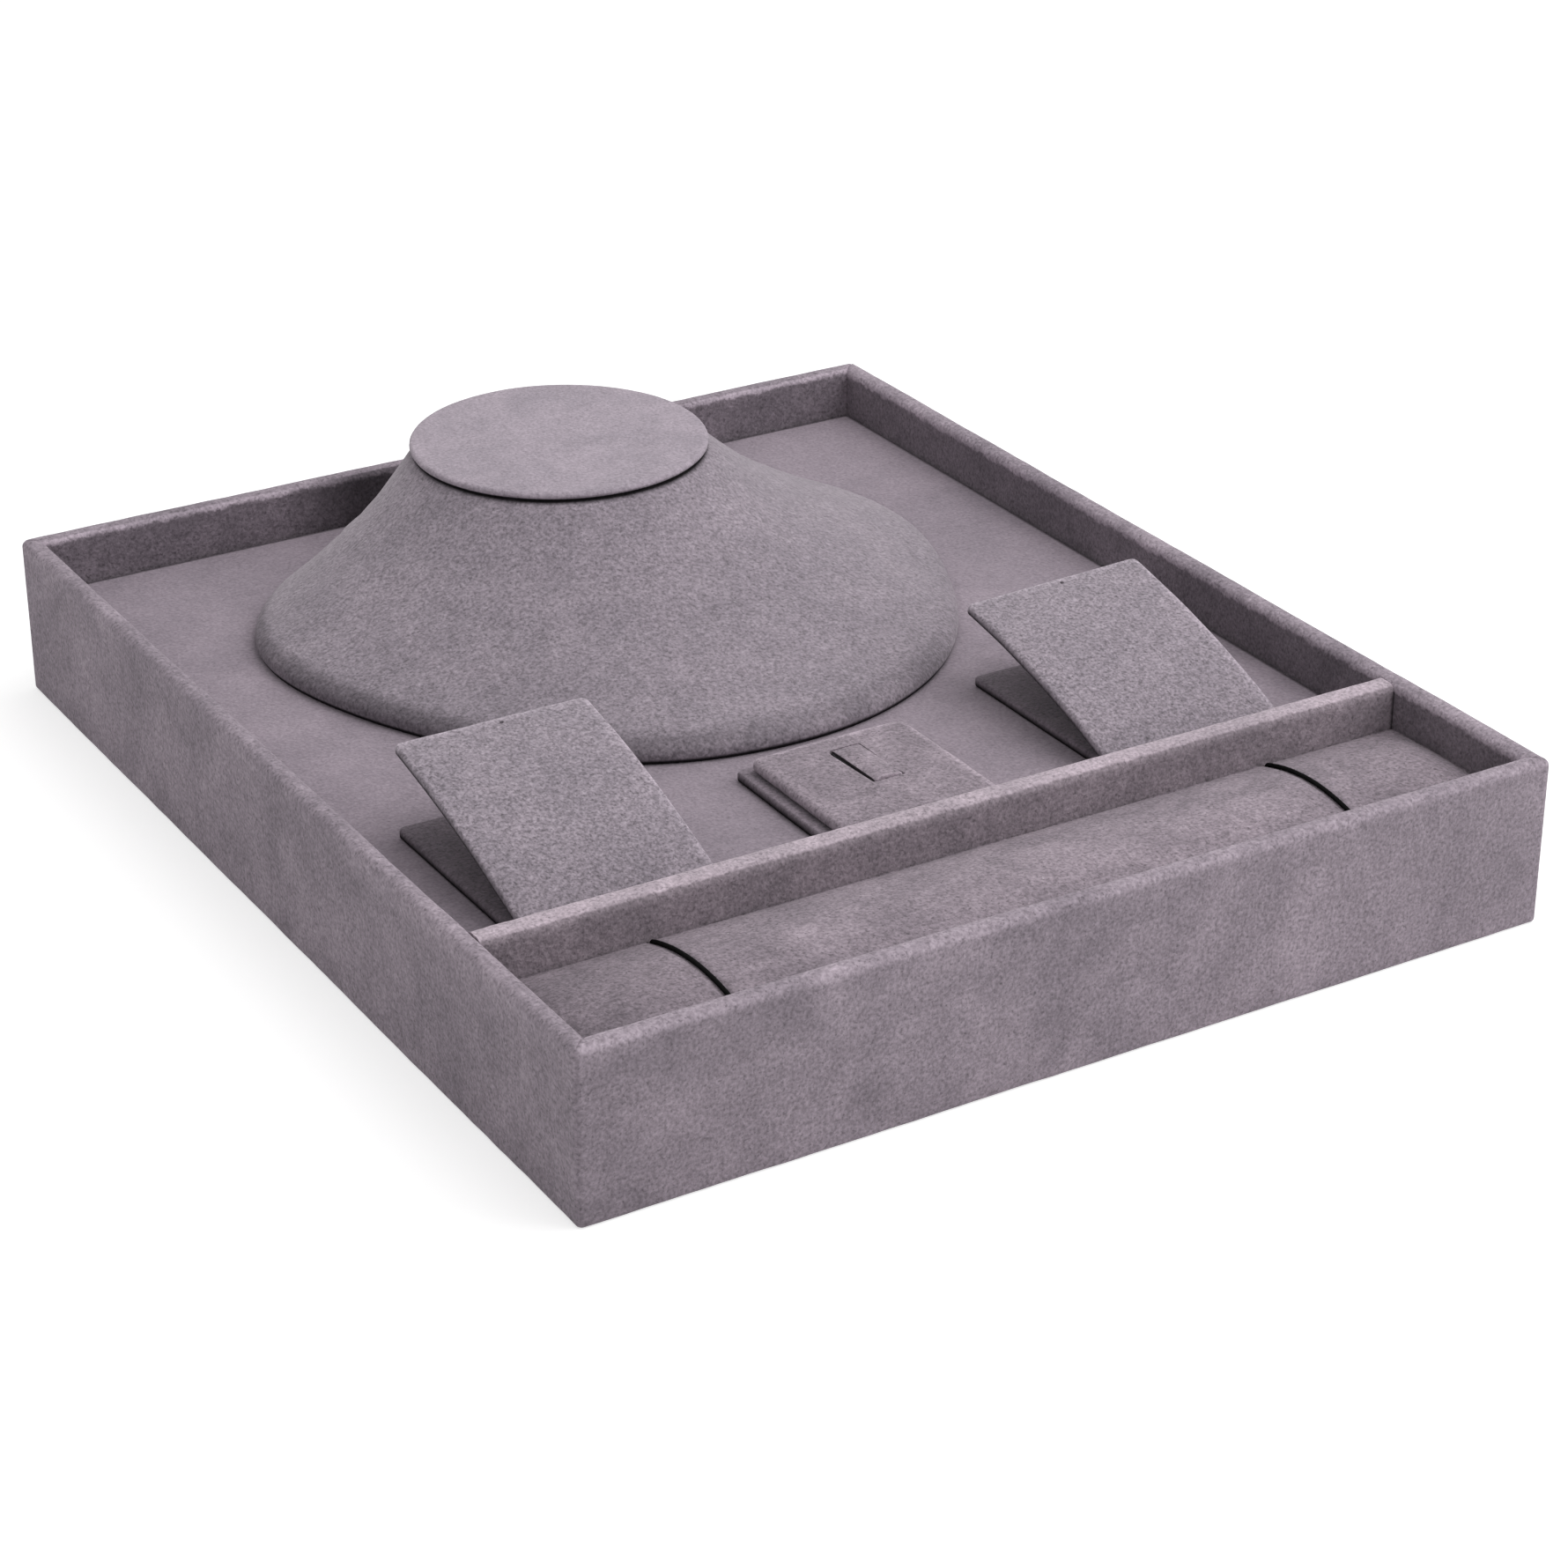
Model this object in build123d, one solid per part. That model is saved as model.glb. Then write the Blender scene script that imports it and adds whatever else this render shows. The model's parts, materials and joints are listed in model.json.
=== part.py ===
from build123d import *
import os
from math import acos, asin, atan2, cos, degrees, hypot, radians, sin

# A shallow display tray for jewelry. Boards are wrapped in suede, a raised floor carries loose props, and a
# divider closes off a front slot. Origin: middle of the underside. X right, Y to the back, Z up. Millimetres.

# Tray
tray_width = 300.0
tray_height = 50.0
wall_core = 5.0
suede = 0.75
rim_radius = 2.3
corner_radius = 1.8
foot_radius = 1.2
turn_under = 14.0
bottom_thickness = 3.0
floor_drop = 16.2
floor_thickness = 3.0
floor_pile = 1.0
skirt_tuck = 2.5
batten_width = 12.0
lining_fit = 0.2

# Divider and the slot in front of it
slot_depth = 52.8
divider_thickness = 8.0
divider_drop = 0.6
divider_radius = 2.6

# Necklace bust
bust_width = 216.4
bust_length = 191.2
bust_height = 41.5
bust_shift = -2.5
bust_gap = 10.4
bust_back_gap = 18.6
bust_suede = 0.6
bust_board = 4.0
bust_board_inset = 3.2
neck_radius = 43.8
neck_shift = 1.2
neck_back_gap = 47.5
cap_radius = 45.6
cap_thickness = 2.6
cap_edge = 1.1

# Where the half outline of the bust's foot runs: share of the half width, share of the length from the front
foot_outline_shares = (
    (0.0, 0.0),
    (0.231, 0.016),
    (0.446, 0.066),
    (0.631, 0.145),
    (0.774, 0.248),
    (0.886, 0.366),
    (0.971, 0.497),
    (1.0, 0.640),
    (0.910, 0.790),
    (0.714, 0.895),
    (0.475, 0.955),
    (0.236, 0.988),
    (0.0, 1.0),
)
outline_pole_share = 0.497

# How the bust rises: share of the way from the neck out to the foot's outline, share of the height
flare_shares = (
    (0.985, 0.0),
    (1.0, 0.045),
    (0.992, 0.10),
    (0.958, 0.15),
    (0.90, 0.187),
    (0.78, 0.255),
    (0.62, 0.366),
    (0.45, 0.490),
    (0.28, 0.645),
    (0.13, 0.830),
    (0.045, 0.945),
    (0.0, 1.0),
)

# Ramp stands
stand_width = 58.0
stand_depth = 80.0
stand_base = 3.0
stand_corner = 3.0
stand_base_edge = 0.6
stand_suede = 0.5
stand_lift = 27.9
ramp_thickness = 3.2
ramp_pad = 1.1
ramp_rear_angle = 9.0
ramp_nose = 0.8
ramp_edge = 0.9
pendant_hole = 1.3
pendant_hole_inset = 2.6
pendant_hole_shift = 2.0
left_stand_gap = 19.3
right_stand_gap = 25.0
right_ramp_shift = -1.7
prop_gap = 0.7

# Ring holder
ring_width = 57.5
ring_depth = 62.5
ring_base = 3.2
ring_corner = 3.0
ring_base_edge = 0.6
ring_suede = 0.5
ring_shift = -0.85
ring_pad_inset = 4.4
ring_pad_height = 4.4
ring_pad_corner = 3.2
tongue_width = 9.4
tongue_length = 23.0
tongue_thickness = 1.9
tongue_suede = 0.45
tongue_corner = 1.0
tongue_edge = 0.45
tongue_back_margin = 10.2
tongue_slit = 0.6
tongue_hinge_gap = 0.3
tongue_below_crown = 0.35

# How the ring pad swells and crowns: share of the half width drawn in, share of the height
ring_pad_shares = (
    (0.028, 0.0),
    (0.0, 0.30),
    (0.0, 0.60),
    (0.018, 0.72),
    (0.06, 0.81),
    (0.15, 0.89),
    (0.34, 0.96),
    (0.60, 1.0),
)

# Bracelet pad
pad_fit = 0.4
pad_board = 2.0
pad_edge = 2.4
pad_crown = 4.0
pad_end_rounding = 18.0
cord_diameter = 1.3
left_cord_gap = 46.95
right_cord_gap = 43.75
cord_sink = 0.35
cord_bend = 1.0
cord_groove_fit = 0.1

# The pad's crown along one end, from the very end inwards: share of the end rounding, share of the crown
end_rounding_shares = (
    (0.0, 0.12),
    (0.09, 0.42),
    (0.28, 0.70),
    (0.60, 0.92),
    (1.0, 1.0),
)

# Overrun of every through cut
overrun = 1.0

wall = wall_core + 2 * suede
core_inset = wall - suede
inner_width = tray_width - 2 * wall
main_depth = prop_gap + ring_depth + bust_gap + bust_length + bust_back_gap
tray_depth = wall + slot_depth + divider_thickness + main_depth + wall
front_face = -tray_depth / 2
back_inside = tray_depth / 2 - wall
slot_front = front_face + wall
divider_front = slot_front + slot_depth
divider_back = divider_front + divider_thickness
floor_top = tray_height - floor_drop
board_top = floor_top - floor_pile
board_bottom = board_top - floor_thickness
bottom_top = suede + bottom_thickness
prop_front = divider_back + prop_gap


def upright(x_size, y_size, low, high, x_mid=0, y_mid=0):
    """A straight block between two heights."""
    standing = (Align.CENTER, Align.CENTER, Align.MIN)
    return Pos(x_mid, y_mid, low) * Box(x_size, y_size, high - low, align=standing)


def slab(x_size, y_size, low, high, x_mid=0, y_mid=0, corner=0, edge=0):
    """A flat plate with rounded corners and eased edges."""
    plate = upright(x_size, y_size, low, high, x_mid, y_mid)
    if corner > 0:
        plate = fillet(plate.edges().filter_by(Axis.Z), corner)
    if edge > 0:
        rims = plate.faces().sort_by(Axis.Z)
        plate = chamfer(rims[0].outer_wire().edges() + rims[-1].outer_wire().edges(), edge)
    return plate


def prism(points, low, high):
    """An upright prism over a closed outline."""
    outline = make_face(Polyline(*points, close=True))
    return Pos(0, 0, low) * extrude(outline, high - low)


# Tray walls: one ring per layer, cut into four on the mitres
def wall_ring(inset):
    outer = upright(tray_width - 2 * inset, tray_depth - 2 * inset, inset, tray_height - inset)
    outer = fillet(outer.edges().filter_by(Axis.Z), corner_radius - inset)
    foot = outer.faces().sort_by(Axis.Z)[0].outer_wire().edges()
    if foot_radius > inset:
        outer = fillet(foot, foot_radius - inset)
    hollow_x = tray_width - 2 * (wall - inset)
    hollow_y = tray_depth - 2 * (wall - inset)
    ring = outer - upright(hollow_x, hollow_y, inset - overrun, tray_height + overrun)
    rim = ring.faces().sort_by(Axis.Z)[-1]
    return fillet(rim.edges(), rim_radius - inset)


def mitre_wedge(side):
    reach = wall + turn_under
    x_out, y_out = tray_width / 2 + overrun, tray_depth / 2 + overrun
    x_in, y_in = tray_width / 2 - reach, tray_depth / 2 - reach
    corners = {
        "front": ((-x_out, -y_out), (x_out, -y_out), (x_in, -y_in), (-x_in, -y_in)),
        "right": ((x_out, -y_out), (x_out, y_out), (x_in, y_in), (x_in, -y_in)),
        "back": ((x_out, y_out), (-x_out, y_out), (-x_in, y_in), (x_in, y_in)),
        "left": ((-x_out, y_out), (-x_out, -y_out), (-x_in, -y_in), (-x_in, y_in)),
    }
    return prism(corners[side], -overrun, tray_height + overrun)


def cover_ring():
    shell = wall_ring(0) - wall_ring(suede)
    bare_x, bare_y = tray_width - 2 * core_inset, tray_depth - 2 * core_inset
    shell -= upright(bare_x, bare_y, suede, floor_top - skirt_tuck)
    turned = upright(bare_x, bare_y, 0, suede)
    turned -= upright(tray_width - 2 * turn_under, tray_depth - 2 * turn_under, -overrun, suede + overrun)
    shell -= upright(bare_x, bare_y, -overrun, suede)
    return shell + turned


def tray_walls():
    cores, covers = wall_ring(suede), cover_ring()
    pieces = {}
    for side in ("front", "back", "left", "right"):
        wedge = mitre_wedge(side)
        pieces[f"wall_core_{side}"] = cores & wedge
        pieces[f"wall_cover_{side}"] = covers & wedge
    return pieces


def tray_bottom():
    bare_x, bare_y = tray_width - 2 * core_inset, tray_depth - 2 * core_inset
    lining_x, lining_y = tray_width - 2 * turn_under, tray_depth - 2 * turn_under
    return {
        "bottom_board": upright(bare_x, bare_y, suede, bottom_top),
        "bottom_lining": upright(lining_x - 2 * lining_fit, lining_y - 2 * lining_fit, 0, suede),
    }


def battens():
    bare_x, bare_y = tray_width - 2 * core_inset, tray_depth - 2 * core_inset
    rail_x = (bare_x - batten_width) / 2
    cross_x = bare_x - 2 * batten_width
    back_y = (bare_y - batten_width) / 2
    divider_y = (divider_front + divider_back) / 2
    places = {
        "batten_divider": divider_y,
        "batten_middle": (divider_y + back_y) / 2,
        "batten_back": back_y,
    }
    pieces = {
        "batten_left": upright(batten_width, bare_y, bottom_top, board_bottom, -rail_x),
        "batten_right": upright(batten_width, bare_y, bottom_top, board_bottom, rail_x),
    }
    for name, y_mid in places.items():
        pieces[name] = upright(cross_x, batten_width, bottom_top, board_bottom, 0, y_mid)
    return pieces


def raised_floor():
    floor_x = inner_width - 2 * lining_fit
    board_y = back_inside - slot_front - 2 * lining_fit
    main_y = back_inside - divider_back - 2 * lining_fit
    slot_y = slot_depth - 2 * lining_fit
    main_mid = (back_inside + divider_back) / 2
    slot_mid = (slot_front + divider_front) / 2
    return {
        "floor_board": upright(floor_x, board_y, board_bottom, board_top),
        "floor_lining_main": upright(floor_x, main_y, board_top, floor_top, 0, main_mid),
        "floor_lining_slot": upright(floor_x, slot_y, board_top, floor_top, 0, slot_mid),
    }


def divider():
    length = inner_width - 2 * lining_fit
    y_mid = (divider_front + divider_back) / 2
    top = tray_height - divider_drop

    def layer(inset):
        bar = upright(length, divider_thickness - 2 * inset, board_top, top - inset, 0, y_mid)
        crest = bar.faces().sort_by(Axis.Z)[-1].edges().filter_by(Axis.X)
        return fillet(crest, divider_radius - inset)

    core = layer(suede)
    return {"divider_core": core, "divider_cover": layer(0) - core}


# Necklace bust: a loft from the egg-shaped foot up to the round neck
bust_front = prop_front + ring_depth + bust_gap
bust_pole = bust_front + outline_pole_share * bust_length
neck_y = back_inside - bust_back_gap - neck_back_gap


def foot_points():
    half = [(x * bust_width / 2, bust_front + y * bust_length) for x, y in foot_outline_shares]
    other = [(-x, y) for x, y in reversed(half[1:-1])]
    return half + other


def bust_section(out_share, height, inset):
    places = []
    for x, y in foot_points():
        angle = atan2(y - bust_pole, x)
        neck = (neck_shift + neck_radius * cos(angle), neck_y + neck_radius * sin(angle))
        x = neck[0] + (x - neck[0]) * out_share
        y = neck[1] + (y - neck[1]) * out_share
        mid_x, mid_y = neck_shift * (1 - out_share), neck_y + (bust_pole - neck_y) * out_share
        reach = hypot(x - mid_x, y - mid_y)
        kept = (reach - inset) / reach
        places.append((bust_shift + mid_x + (x - mid_x) * kept, mid_y + (y - mid_y) * kept))
    outline = Spline(*places, periodic=True)
    return Pos(0, 0, height) * make_face(outline)


def bust_body(inset):
    """The bust's outer form, drawn in and lowered by one depth, with its foot still on the floor."""
    sections = []
    for out, up in flare_shares:
        rise = up * bust_height
        sections.append(bust_section(out, floor_top + rise - min(inset, rise / 2), inset))
    return loft(sections, ruled=True)


def bust_plate(low, thickness, inset):
    """A flat plate in the outline of the bust's foot."""
    foot_out = flare_shares[0][0]
    sections = [bust_section(foot_out, height, inset) for height in (low, low + thickness)]
    return loft(sections, ruled=True)


def necklace_bust():
    far = 2 * tray_width
    seat = floor_top + bust_suede
    lined = bust_body(bust_suede)
    board = bust_plate(seat, bust_board, bust_board_inset)
    return {
        "bust_cover": bust_body(0) - lined,
        "bust_form": lined - upright(far, far, -far, seat) - board,
        "bust_board": board,
        "bust_lining": bust_plate(floor_top, bust_suede, bust_suede),
    }


def neck_cap():
    low = floor_top + bust_height
    middle = Pos(bust_shift + neck_shift, neck_y, low)
    standing = (Align.CENTER, Align.CENTER, Align.MIN)

    def disc(inset):
        plate = Pos(0, 0, inset) * Cylinder(cap_radius - inset, cap_thickness - 2 * inset, align=standing)
        return chamfer(plate.edges().filter_by(GeomType.CIRCLE), cap_edge - inset)

    board = disc(bust_suede)
    return {"neck_cap_board": middle * board, "neck_cap_cover": middle * (disc(0) - board)}


# Ramp stands: a flat base and a bent ramp, an arc from the base's front edge up to the lifted rear edge
ramp_rise = stand_lift - stand_base - ramp_nose
ramp_lean = ramp_rise * cos(radians(ramp_rear_angle)) - stand_depth * sin(radians(ramp_rear_angle))
ramp_radius = (stand_depth ** 2 + ramp_rise ** 2) / (2 * ramp_lean)


def ramp_layer(x_mid, width, top_inset, bottom_inset, end_inset):
    axis_y = prop_front + stand_depth + ramp_radius * sin(radians(ramp_rear_angle))
    axis_z = floor_top + stand_lift - ramp_radius * cos(radians(ramp_rear_angle))
    start = ramp_rear_angle + degrees(asin(end_inset / ramp_radius))
    finish = degrees(acos((floor_top - axis_z) / ramp_radius))

    def place(radius, angle):
        return (axis_y - radius * sin(radians(angle)), axis_z + radius * cos(radians(angle)))

    high, low = ramp_radius - top_inset, ramp_radius - ramp_thickness + bottom_inset
    middle = (start + finish) / 2
    top_line = ThreePointArc(place(high, start), place(high, middle), place(high, finish))
    low_line = ThreePointArc(place(low, start), place(low, middle), place(low, finish))
    ends = Line(place(high, start), place(low, start)), Line(place(high, finish), place(low, finish))
    profile = make_face([top_line, low_line, *ends])
    side = Plane(origin=(x_mid - width / 2, 0, 0), x_dir=(0, 1, 0), z_dir=(1, 0, 0))
    return extrude(side * profile, width)


def ramp_shape(x_mid, cover):
    """The whole ramp, or the bent board inside it where cover is the suede's thickness."""
    width = stand_width - 2 * cover
    top_inset = ramp_pad if cover > 0 else 0
    plate = ramp_layer(x_mid, width, top_inset, cover, cover)
    rear = plate.faces().sort_by(Axis.Y)[-1]
    corners = rear.edges().filter_by(lambda edge: abs(edge.tangent_at(0).X) < abs(edge.tangent_at(0).Z))
    plate = fillet(corners, stand_corner - cover)
    if cover == 0:
        broad = plate.faces().filter_by(GeomType.CYLINDER).sort_by(SortBy.AREA)[-2:]
        sides = [edge for face in broad for edge in face.edges() if edge.center().Z > floor_top + stand_base]
        plate = chamfer(sides, ramp_edge)
    far = 2 * tray_width
    low = floor_top + stand_base + cover
    return plate & upright(far, far, low, low + far, 0, prop_front + cover + far / 2)


def ramp_stand(name, x_mid, ramp_shift):
    ramp_x = x_mid + ramp_shift
    y_mid = prop_front + stand_depth / 2
    low, high = floor_top, floor_top + stand_base
    outer = slab(stand_width, stand_depth, low, high, x_mid, y_mid, stand_corner, stand_base_edge)
    board_x, board_y = stand_width - 2 * stand_suede, stand_depth - 2 * stand_suede
    board = slab(board_x, board_y, low + stand_suede, high - stand_suede, x_mid, y_mid,
                 stand_corner - stand_suede)
    hole_y = prop_front + stand_depth - pendant_hole_inset
    hole = Pos(ramp_x + pendant_hole_shift, hole_y, tray_height) * Cylinder(pendant_hole / 2, tray_height)
    ramp_board = ramp_shape(ramp_x, stand_suede) - hole
    ramp_cover = ramp_shape(ramp_x, 0) - hole - ramp_shape(ramp_x, stand_suede)
    return {
        f"{name}_base_board": board,
        f"{name}_base_cover": outer - board,
        f"{name}_ramp_board": ramp_board,
        f"{name}_ramp_cover": ramp_cover,
    }


# Ring holder: a flat base, a crowned pad with a pocket, and a tongue that flexes up over the pocket
ring_y = prop_front + ring_depth / 2
ring_top = floor_top + ring_base
pad_x = ring_width - 2 * ring_pad_inset
pad_y = ring_depth - 2 * ring_pad_inset
hinge_y = ring_y + pad_y / 2 - tongue_back_margin + ring_pad_inset
hinge_z = ring_top + ring_pad_height - tongue_below_crown


def ring_base_pieces():
    outer = slab(ring_width, ring_depth, floor_top, ring_top, ring_shift, ring_y, ring_corner, ring_base_edge)
    board = slab(ring_width - 2 * ring_suede, ring_depth - 2 * ring_suede, floor_top + ring_suede,
                 ring_top - ring_suede, ring_shift, ring_y, ring_corner - ring_suede)
    return {"ring_base_board": board, "ring_base_cover": outer - board}


def ring_pad():
    sections = []
    for draw_share, rise_share in ring_pad_shares:
        draw = draw_share * pad_x / 2
        outline = RectangleRounded(pad_x - 2 * draw, pad_y - 2 * draw, ring_pad_corner)
        sections.append(Pos(ring_shift, ring_y, ring_top + rise_share * ring_pad_height) * outline)
    pad = loft(sections, ruled=True)
    pocket_x = tongue_width + 2 * tongue_slit
    back = hinge_y + tongue_hinge_gap
    front = hinge_y - tongue_length - tongue_slit
    pocket = upright(pocket_x, back - front, floor_top, tray_height, ring_shift, (back + front) / 2)
    return {"ring_pad": pad - pocket}


def ring_tongue():
    length_mid = hinge_y - tongue_length / 2

    def layer(inset):
        x_size, y_size = tongue_width - 2 * inset, tongue_length - 2 * inset
        low, high = hinge_z - tongue_thickness + inset, hinge_z - inset
        edge = 0 if inset else tongue_edge
        return slab(x_size, y_size, low, high, ring_shift, length_mid, tongue_corner - inset, edge)

    board = layer(tongue_suede)
    return {"ring_tongue_board": board, "ring_tongue_cover": layer(0) - board}


# Bracelet pad: a board, a crowned cushion whose ends are drawn down, and two elastic cords round it
pad_length = inner_width - 2 * pad_fit
pad_breadth = slot_depth - 2 * pad_fit
pad_mid = (slot_front + divider_front) / 2
cushion_low = floor_top + pad_board


def cushion_section(x, crown):
    side = Plane(origin=(x, pad_mid, 0), x_dir=(0, 1, 0), z_dir=(1, 0, 0))
    half, edge = pad_breadth / 2, floor_top + pad_edge
    top = ThreePointArc((-half, edge), (0, edge + crown), (half, edge))
    under = Polyline((half, edge), (half, cushion_low), (-half, cushion_low), (-half, edge))
    return side * make_face([top, *under.edges()])


def bracelet_cushion():
    inward = [(along * pad_end_rounding, up * pad_crown) for along, up in end_rounding_shares]
    left = [cushion_section(along - pad_length / 2, crown) for along, crown in inward]
    right = [cushion_section(pad_length / 2 - along, crown) for along, crown in reversed(inward)]
    ends = loft(left) + loft(right)
    return ends + loft([left[-1], right[0]], ruled=True)


def cord_outline(depth):
    """Closed outline round the pad in a cord's plane, at one depth below the cord's outside."""
    half = pad_breadth / 2 - depth
    low = floor_top + depth
    edge = floor_top + pad_edge + cord_diameter - cord_sink - depth
    top = ThreePointArc((-half, edge), (0, edge + pad_crown), (half, edge))
    under = Polyline((half, edge), (half, low), (-half, low), (-half, edge))
    return make_face([top, *under.edges()])


def elastic_cord(x_mid):
    side = Plane(origin=(x_mid, pad_mid, 0), x_dir=(0, 1, 0), z_dir=(1, 0, 0))
    outline = cord_outline(cord_diameter / 2)
    route = (side * fillet(outline.vertices(), cord_bend)).face().outer_wire()
    section = Plane(origin=route.position_at(0), z_dir=route.tangent_at(0)) * Circle(cord_diameter / 2)
    return sweep(section, path=route)


def cord_groove(x_mid):
    """What a cord's groove takes out of the board and the cushion."""
    width = cord_diameter + 2 * cord_groove_fit
    side = Plane(origin=(x_mid - width / 2, pad_mid, 0), x_dir=(0, 1, 0), z_dir=(1, 0, 0))
    kept = extrude(side * cord_outline(cord_diameter + cord_groove_fit), width)
    far = 2 * tray_height
    return upright(width, far, -far, far, x_mid, pad_mid) - kept


def bracelet_pad():
    board = upright(pad_length, pad_breadth, floor_top, cushion_low, 0, pad_mid)
    cushion = bracelet_cushion()
    pieces = {}
    places = {"left": left_cord_gap - pad_length / 2, "right": pad_length / 2 - right_cord_gap}
    for name, place in places.items():
        board -= cord_groove(place)
        cushion -= cord_groove(place)
        pieces[f"bracelet_cord_{name}"] = elastic_cord(place)
    pieces["bracelet_board"] = board
    pieces["bracelet_cushion"] = cushion
    return pieces


def left_stand_x():
    return -inner_width / 2 + left_stand_gap + stand_width / 2


def right_stand_x():
    return inner_width / 2 - right_stand_gap - stand_width / 2


def all_pieces():
    tray = {**tray_walls(), **tray_bottom(), **battens(), **raised_floor(), **divider()}
    bust = {**necklace_bust(), **neck_cap()}
    left_stand = ramp_stand("left_stand", left_stand_x(), 0)
    right_stand = ramp_stand("right_stand", right_stand_x(), right_ramp_shift)
    ring_holder = {**ring_base_pieces(), **ring_pad(), **ring_tongue()}
    return {**tray, **bust, **left_stand, **right_stand, **ring_holder, **bracelet_pad()}


os.makedirs("parts", exist_ok=True)
for node, shape in all_pieces().items():
    export_step(shape, f"parts/{node}.step")
    print(node, round(shape.volume, 1))
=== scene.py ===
# %% [markdown]
# # A suede display tray for jewelry
#
# The real object is a low tray of fibreboard walls wrapped in mauve-grey suede. On its raised floor stand
# loose props: a necklace bust, two bent ramps and a ring holder, and a long padded bar with two elastic
# cords lies in the front slot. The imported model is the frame: it says where each piece is. The frame could
# be dressed with materials alone, but wrapped cloth is never as straight as a board, so most covers are
# made again here as cloth skins.

# %% Load the frame
import json
from math import asin, atan2, cos, degrees, hypot, pi, radians, sin

import bmesh
import bpy
import numpy as np
from mathutils import Matrix, Vector, noise
from mathutils.bvhtree import BVHTree


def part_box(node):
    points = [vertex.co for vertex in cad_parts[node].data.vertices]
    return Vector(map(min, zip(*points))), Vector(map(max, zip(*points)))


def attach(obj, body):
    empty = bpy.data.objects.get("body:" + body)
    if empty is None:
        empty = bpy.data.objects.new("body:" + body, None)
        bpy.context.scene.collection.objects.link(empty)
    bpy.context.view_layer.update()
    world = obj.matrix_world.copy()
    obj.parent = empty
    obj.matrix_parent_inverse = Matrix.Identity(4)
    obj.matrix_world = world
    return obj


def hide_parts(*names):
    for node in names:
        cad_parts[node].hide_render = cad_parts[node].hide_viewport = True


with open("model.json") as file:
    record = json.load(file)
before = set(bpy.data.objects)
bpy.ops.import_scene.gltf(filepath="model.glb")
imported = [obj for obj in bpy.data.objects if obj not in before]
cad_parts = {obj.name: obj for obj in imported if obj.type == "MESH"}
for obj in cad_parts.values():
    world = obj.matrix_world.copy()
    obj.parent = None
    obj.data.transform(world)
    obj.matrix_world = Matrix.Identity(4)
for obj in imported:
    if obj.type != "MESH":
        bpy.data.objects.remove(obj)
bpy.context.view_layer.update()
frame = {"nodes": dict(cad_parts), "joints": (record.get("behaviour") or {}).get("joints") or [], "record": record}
scene = bpy.context.scene
scene.view_settings.view_transform = "Standard"
mm = 0.001

# %% [markdown]
# ## The camera
#
# A product photographer stood at the tray's left front corner with a long lens. The viewpoint was solved
# from the tray's straight edges: where it stood, and which ways its right and its up point. Giving the
# three directions as a matrix keeps the small roll that a "look at" helper would lose.

# %% Camera
lens_mm = 88.673
sensor_mm = 36
stand_point = Vector((-0.507547, -0.87265, 0.511781))
view_right = Vector((0.85760709, -0.51430378, -0.00130005))
view_up = Vector((0.23198998, 0.38458732, 0.89346138))
view_back = Vector((-0.45901059, -0.76654042, 0.44913814))

camera_data = bpy.data.cameras.new("camera")
camera_data.lens = lens_mm
camera_data.sensor_width = sensor_mm
camera_data.sensor_fit = "HORIZONTAL"
camera_data.clip_end = 20
camera = bpy.data.objects.new("camera", camera_data)
turn = Matrix((view_right, view_up, view_back)).transposed()
camera.matrix_world = Matrix.Translation(stand_point) @ turn.to_4x4()
scene.collection.objects.link(camera)
scene.camera = camera
print("camera is", round(stand_point.length, 3), "m from the tray's middle")

# %% [markdown]
# ## Where things are
#
# Most sizes below are read from the frame's boxes, so a piece follows when the model changes. What a box
# can't tell, such as a cloth's thickness, a bent board's angle or where the nap lies another way, is
# written as a value.

# %% Places read from the frame
floor_gap = 0.2 * mm
suede_thickness = 0.75 * mm
front_wall_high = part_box("wall_cover_front")[1]
floor_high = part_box("floor_lining_main")[1]
divider_low, divider_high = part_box("divider_cover")

rim_height = front_wall_high[2]
half_width = front_wall_high[0]
half_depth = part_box("wall_cover_back")[1][1]
floor_top = floor_high[2]
inner_half_width = floor_high[0] + floor_gap
wall = half_width - inner_half_width
print("tray", round(half_width * 2000, 1), "x", round(half_depth * 2000, 1), "x",
      round(rim_height * 1000, 1), "mm")

# %% [markdown]
# ## Colour and nodes
#
# Colours are written as they look on a screen, in sRGB hex, and one function turns them to the linear
# numbers that Blender computes with. One small function adds any node with its settings and links, for
# materials and for Geometry Nodes alike, so a tree reads as a list of steps.


# %% Helpers for colour and nodes
def tint(code):
    """An sRGB hex colour as linear RGBA."""
    parts = [int(code[i:i + 2], 16) / 255 for i in (1, 3, 5)]
    return tuple(c / 12.92 if c <= 0.04045 else ((c + 0.055) / 1.055) ** 2.4 for c in parts) + (1.0,)


def add(tree, kind, inputs=(), **settings):
    """Adds a node. inputs gives values in the sockets' order, or maps a socket's name or number to one. A
    value may be another node, which gives its first output, or one of its outputs."""
    node = tree.nodes.new(kind)
    for name, value in settings.items():
        setattr(node, name, value)
    for key, value in inputs.items() if isinstance(inputs, dict) else enumerate(inputs):
        if isinstance(value, bpy.types.Node):
            value = value.outputs[0]
        if isinstance(value, bpy.types.NodeSocket):
            tree.links.new(value, node.inputs[key])
        else:
            node.inputs[key].default_value = value
    return node


def level(tree, pattern, depth, middle=1.0, clamp=False):
    """A pattern that lies round 0.5, stretched to that depth and moved to lie round the middle."""
    centred = add(tree, "ShaderNodeMath", [pattern, 0.5], operation="SUBTRACT")
    return add(tree, "ShaderNodeMath", [centred, depth, middle], operation="MULTIPLY_ADD", use_clamp=clamp)


def per_metre(size_mm):
    """The noise scale that makes a pattern's features about this many millimetres wide."""
    return 1000 / size_mm


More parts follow.
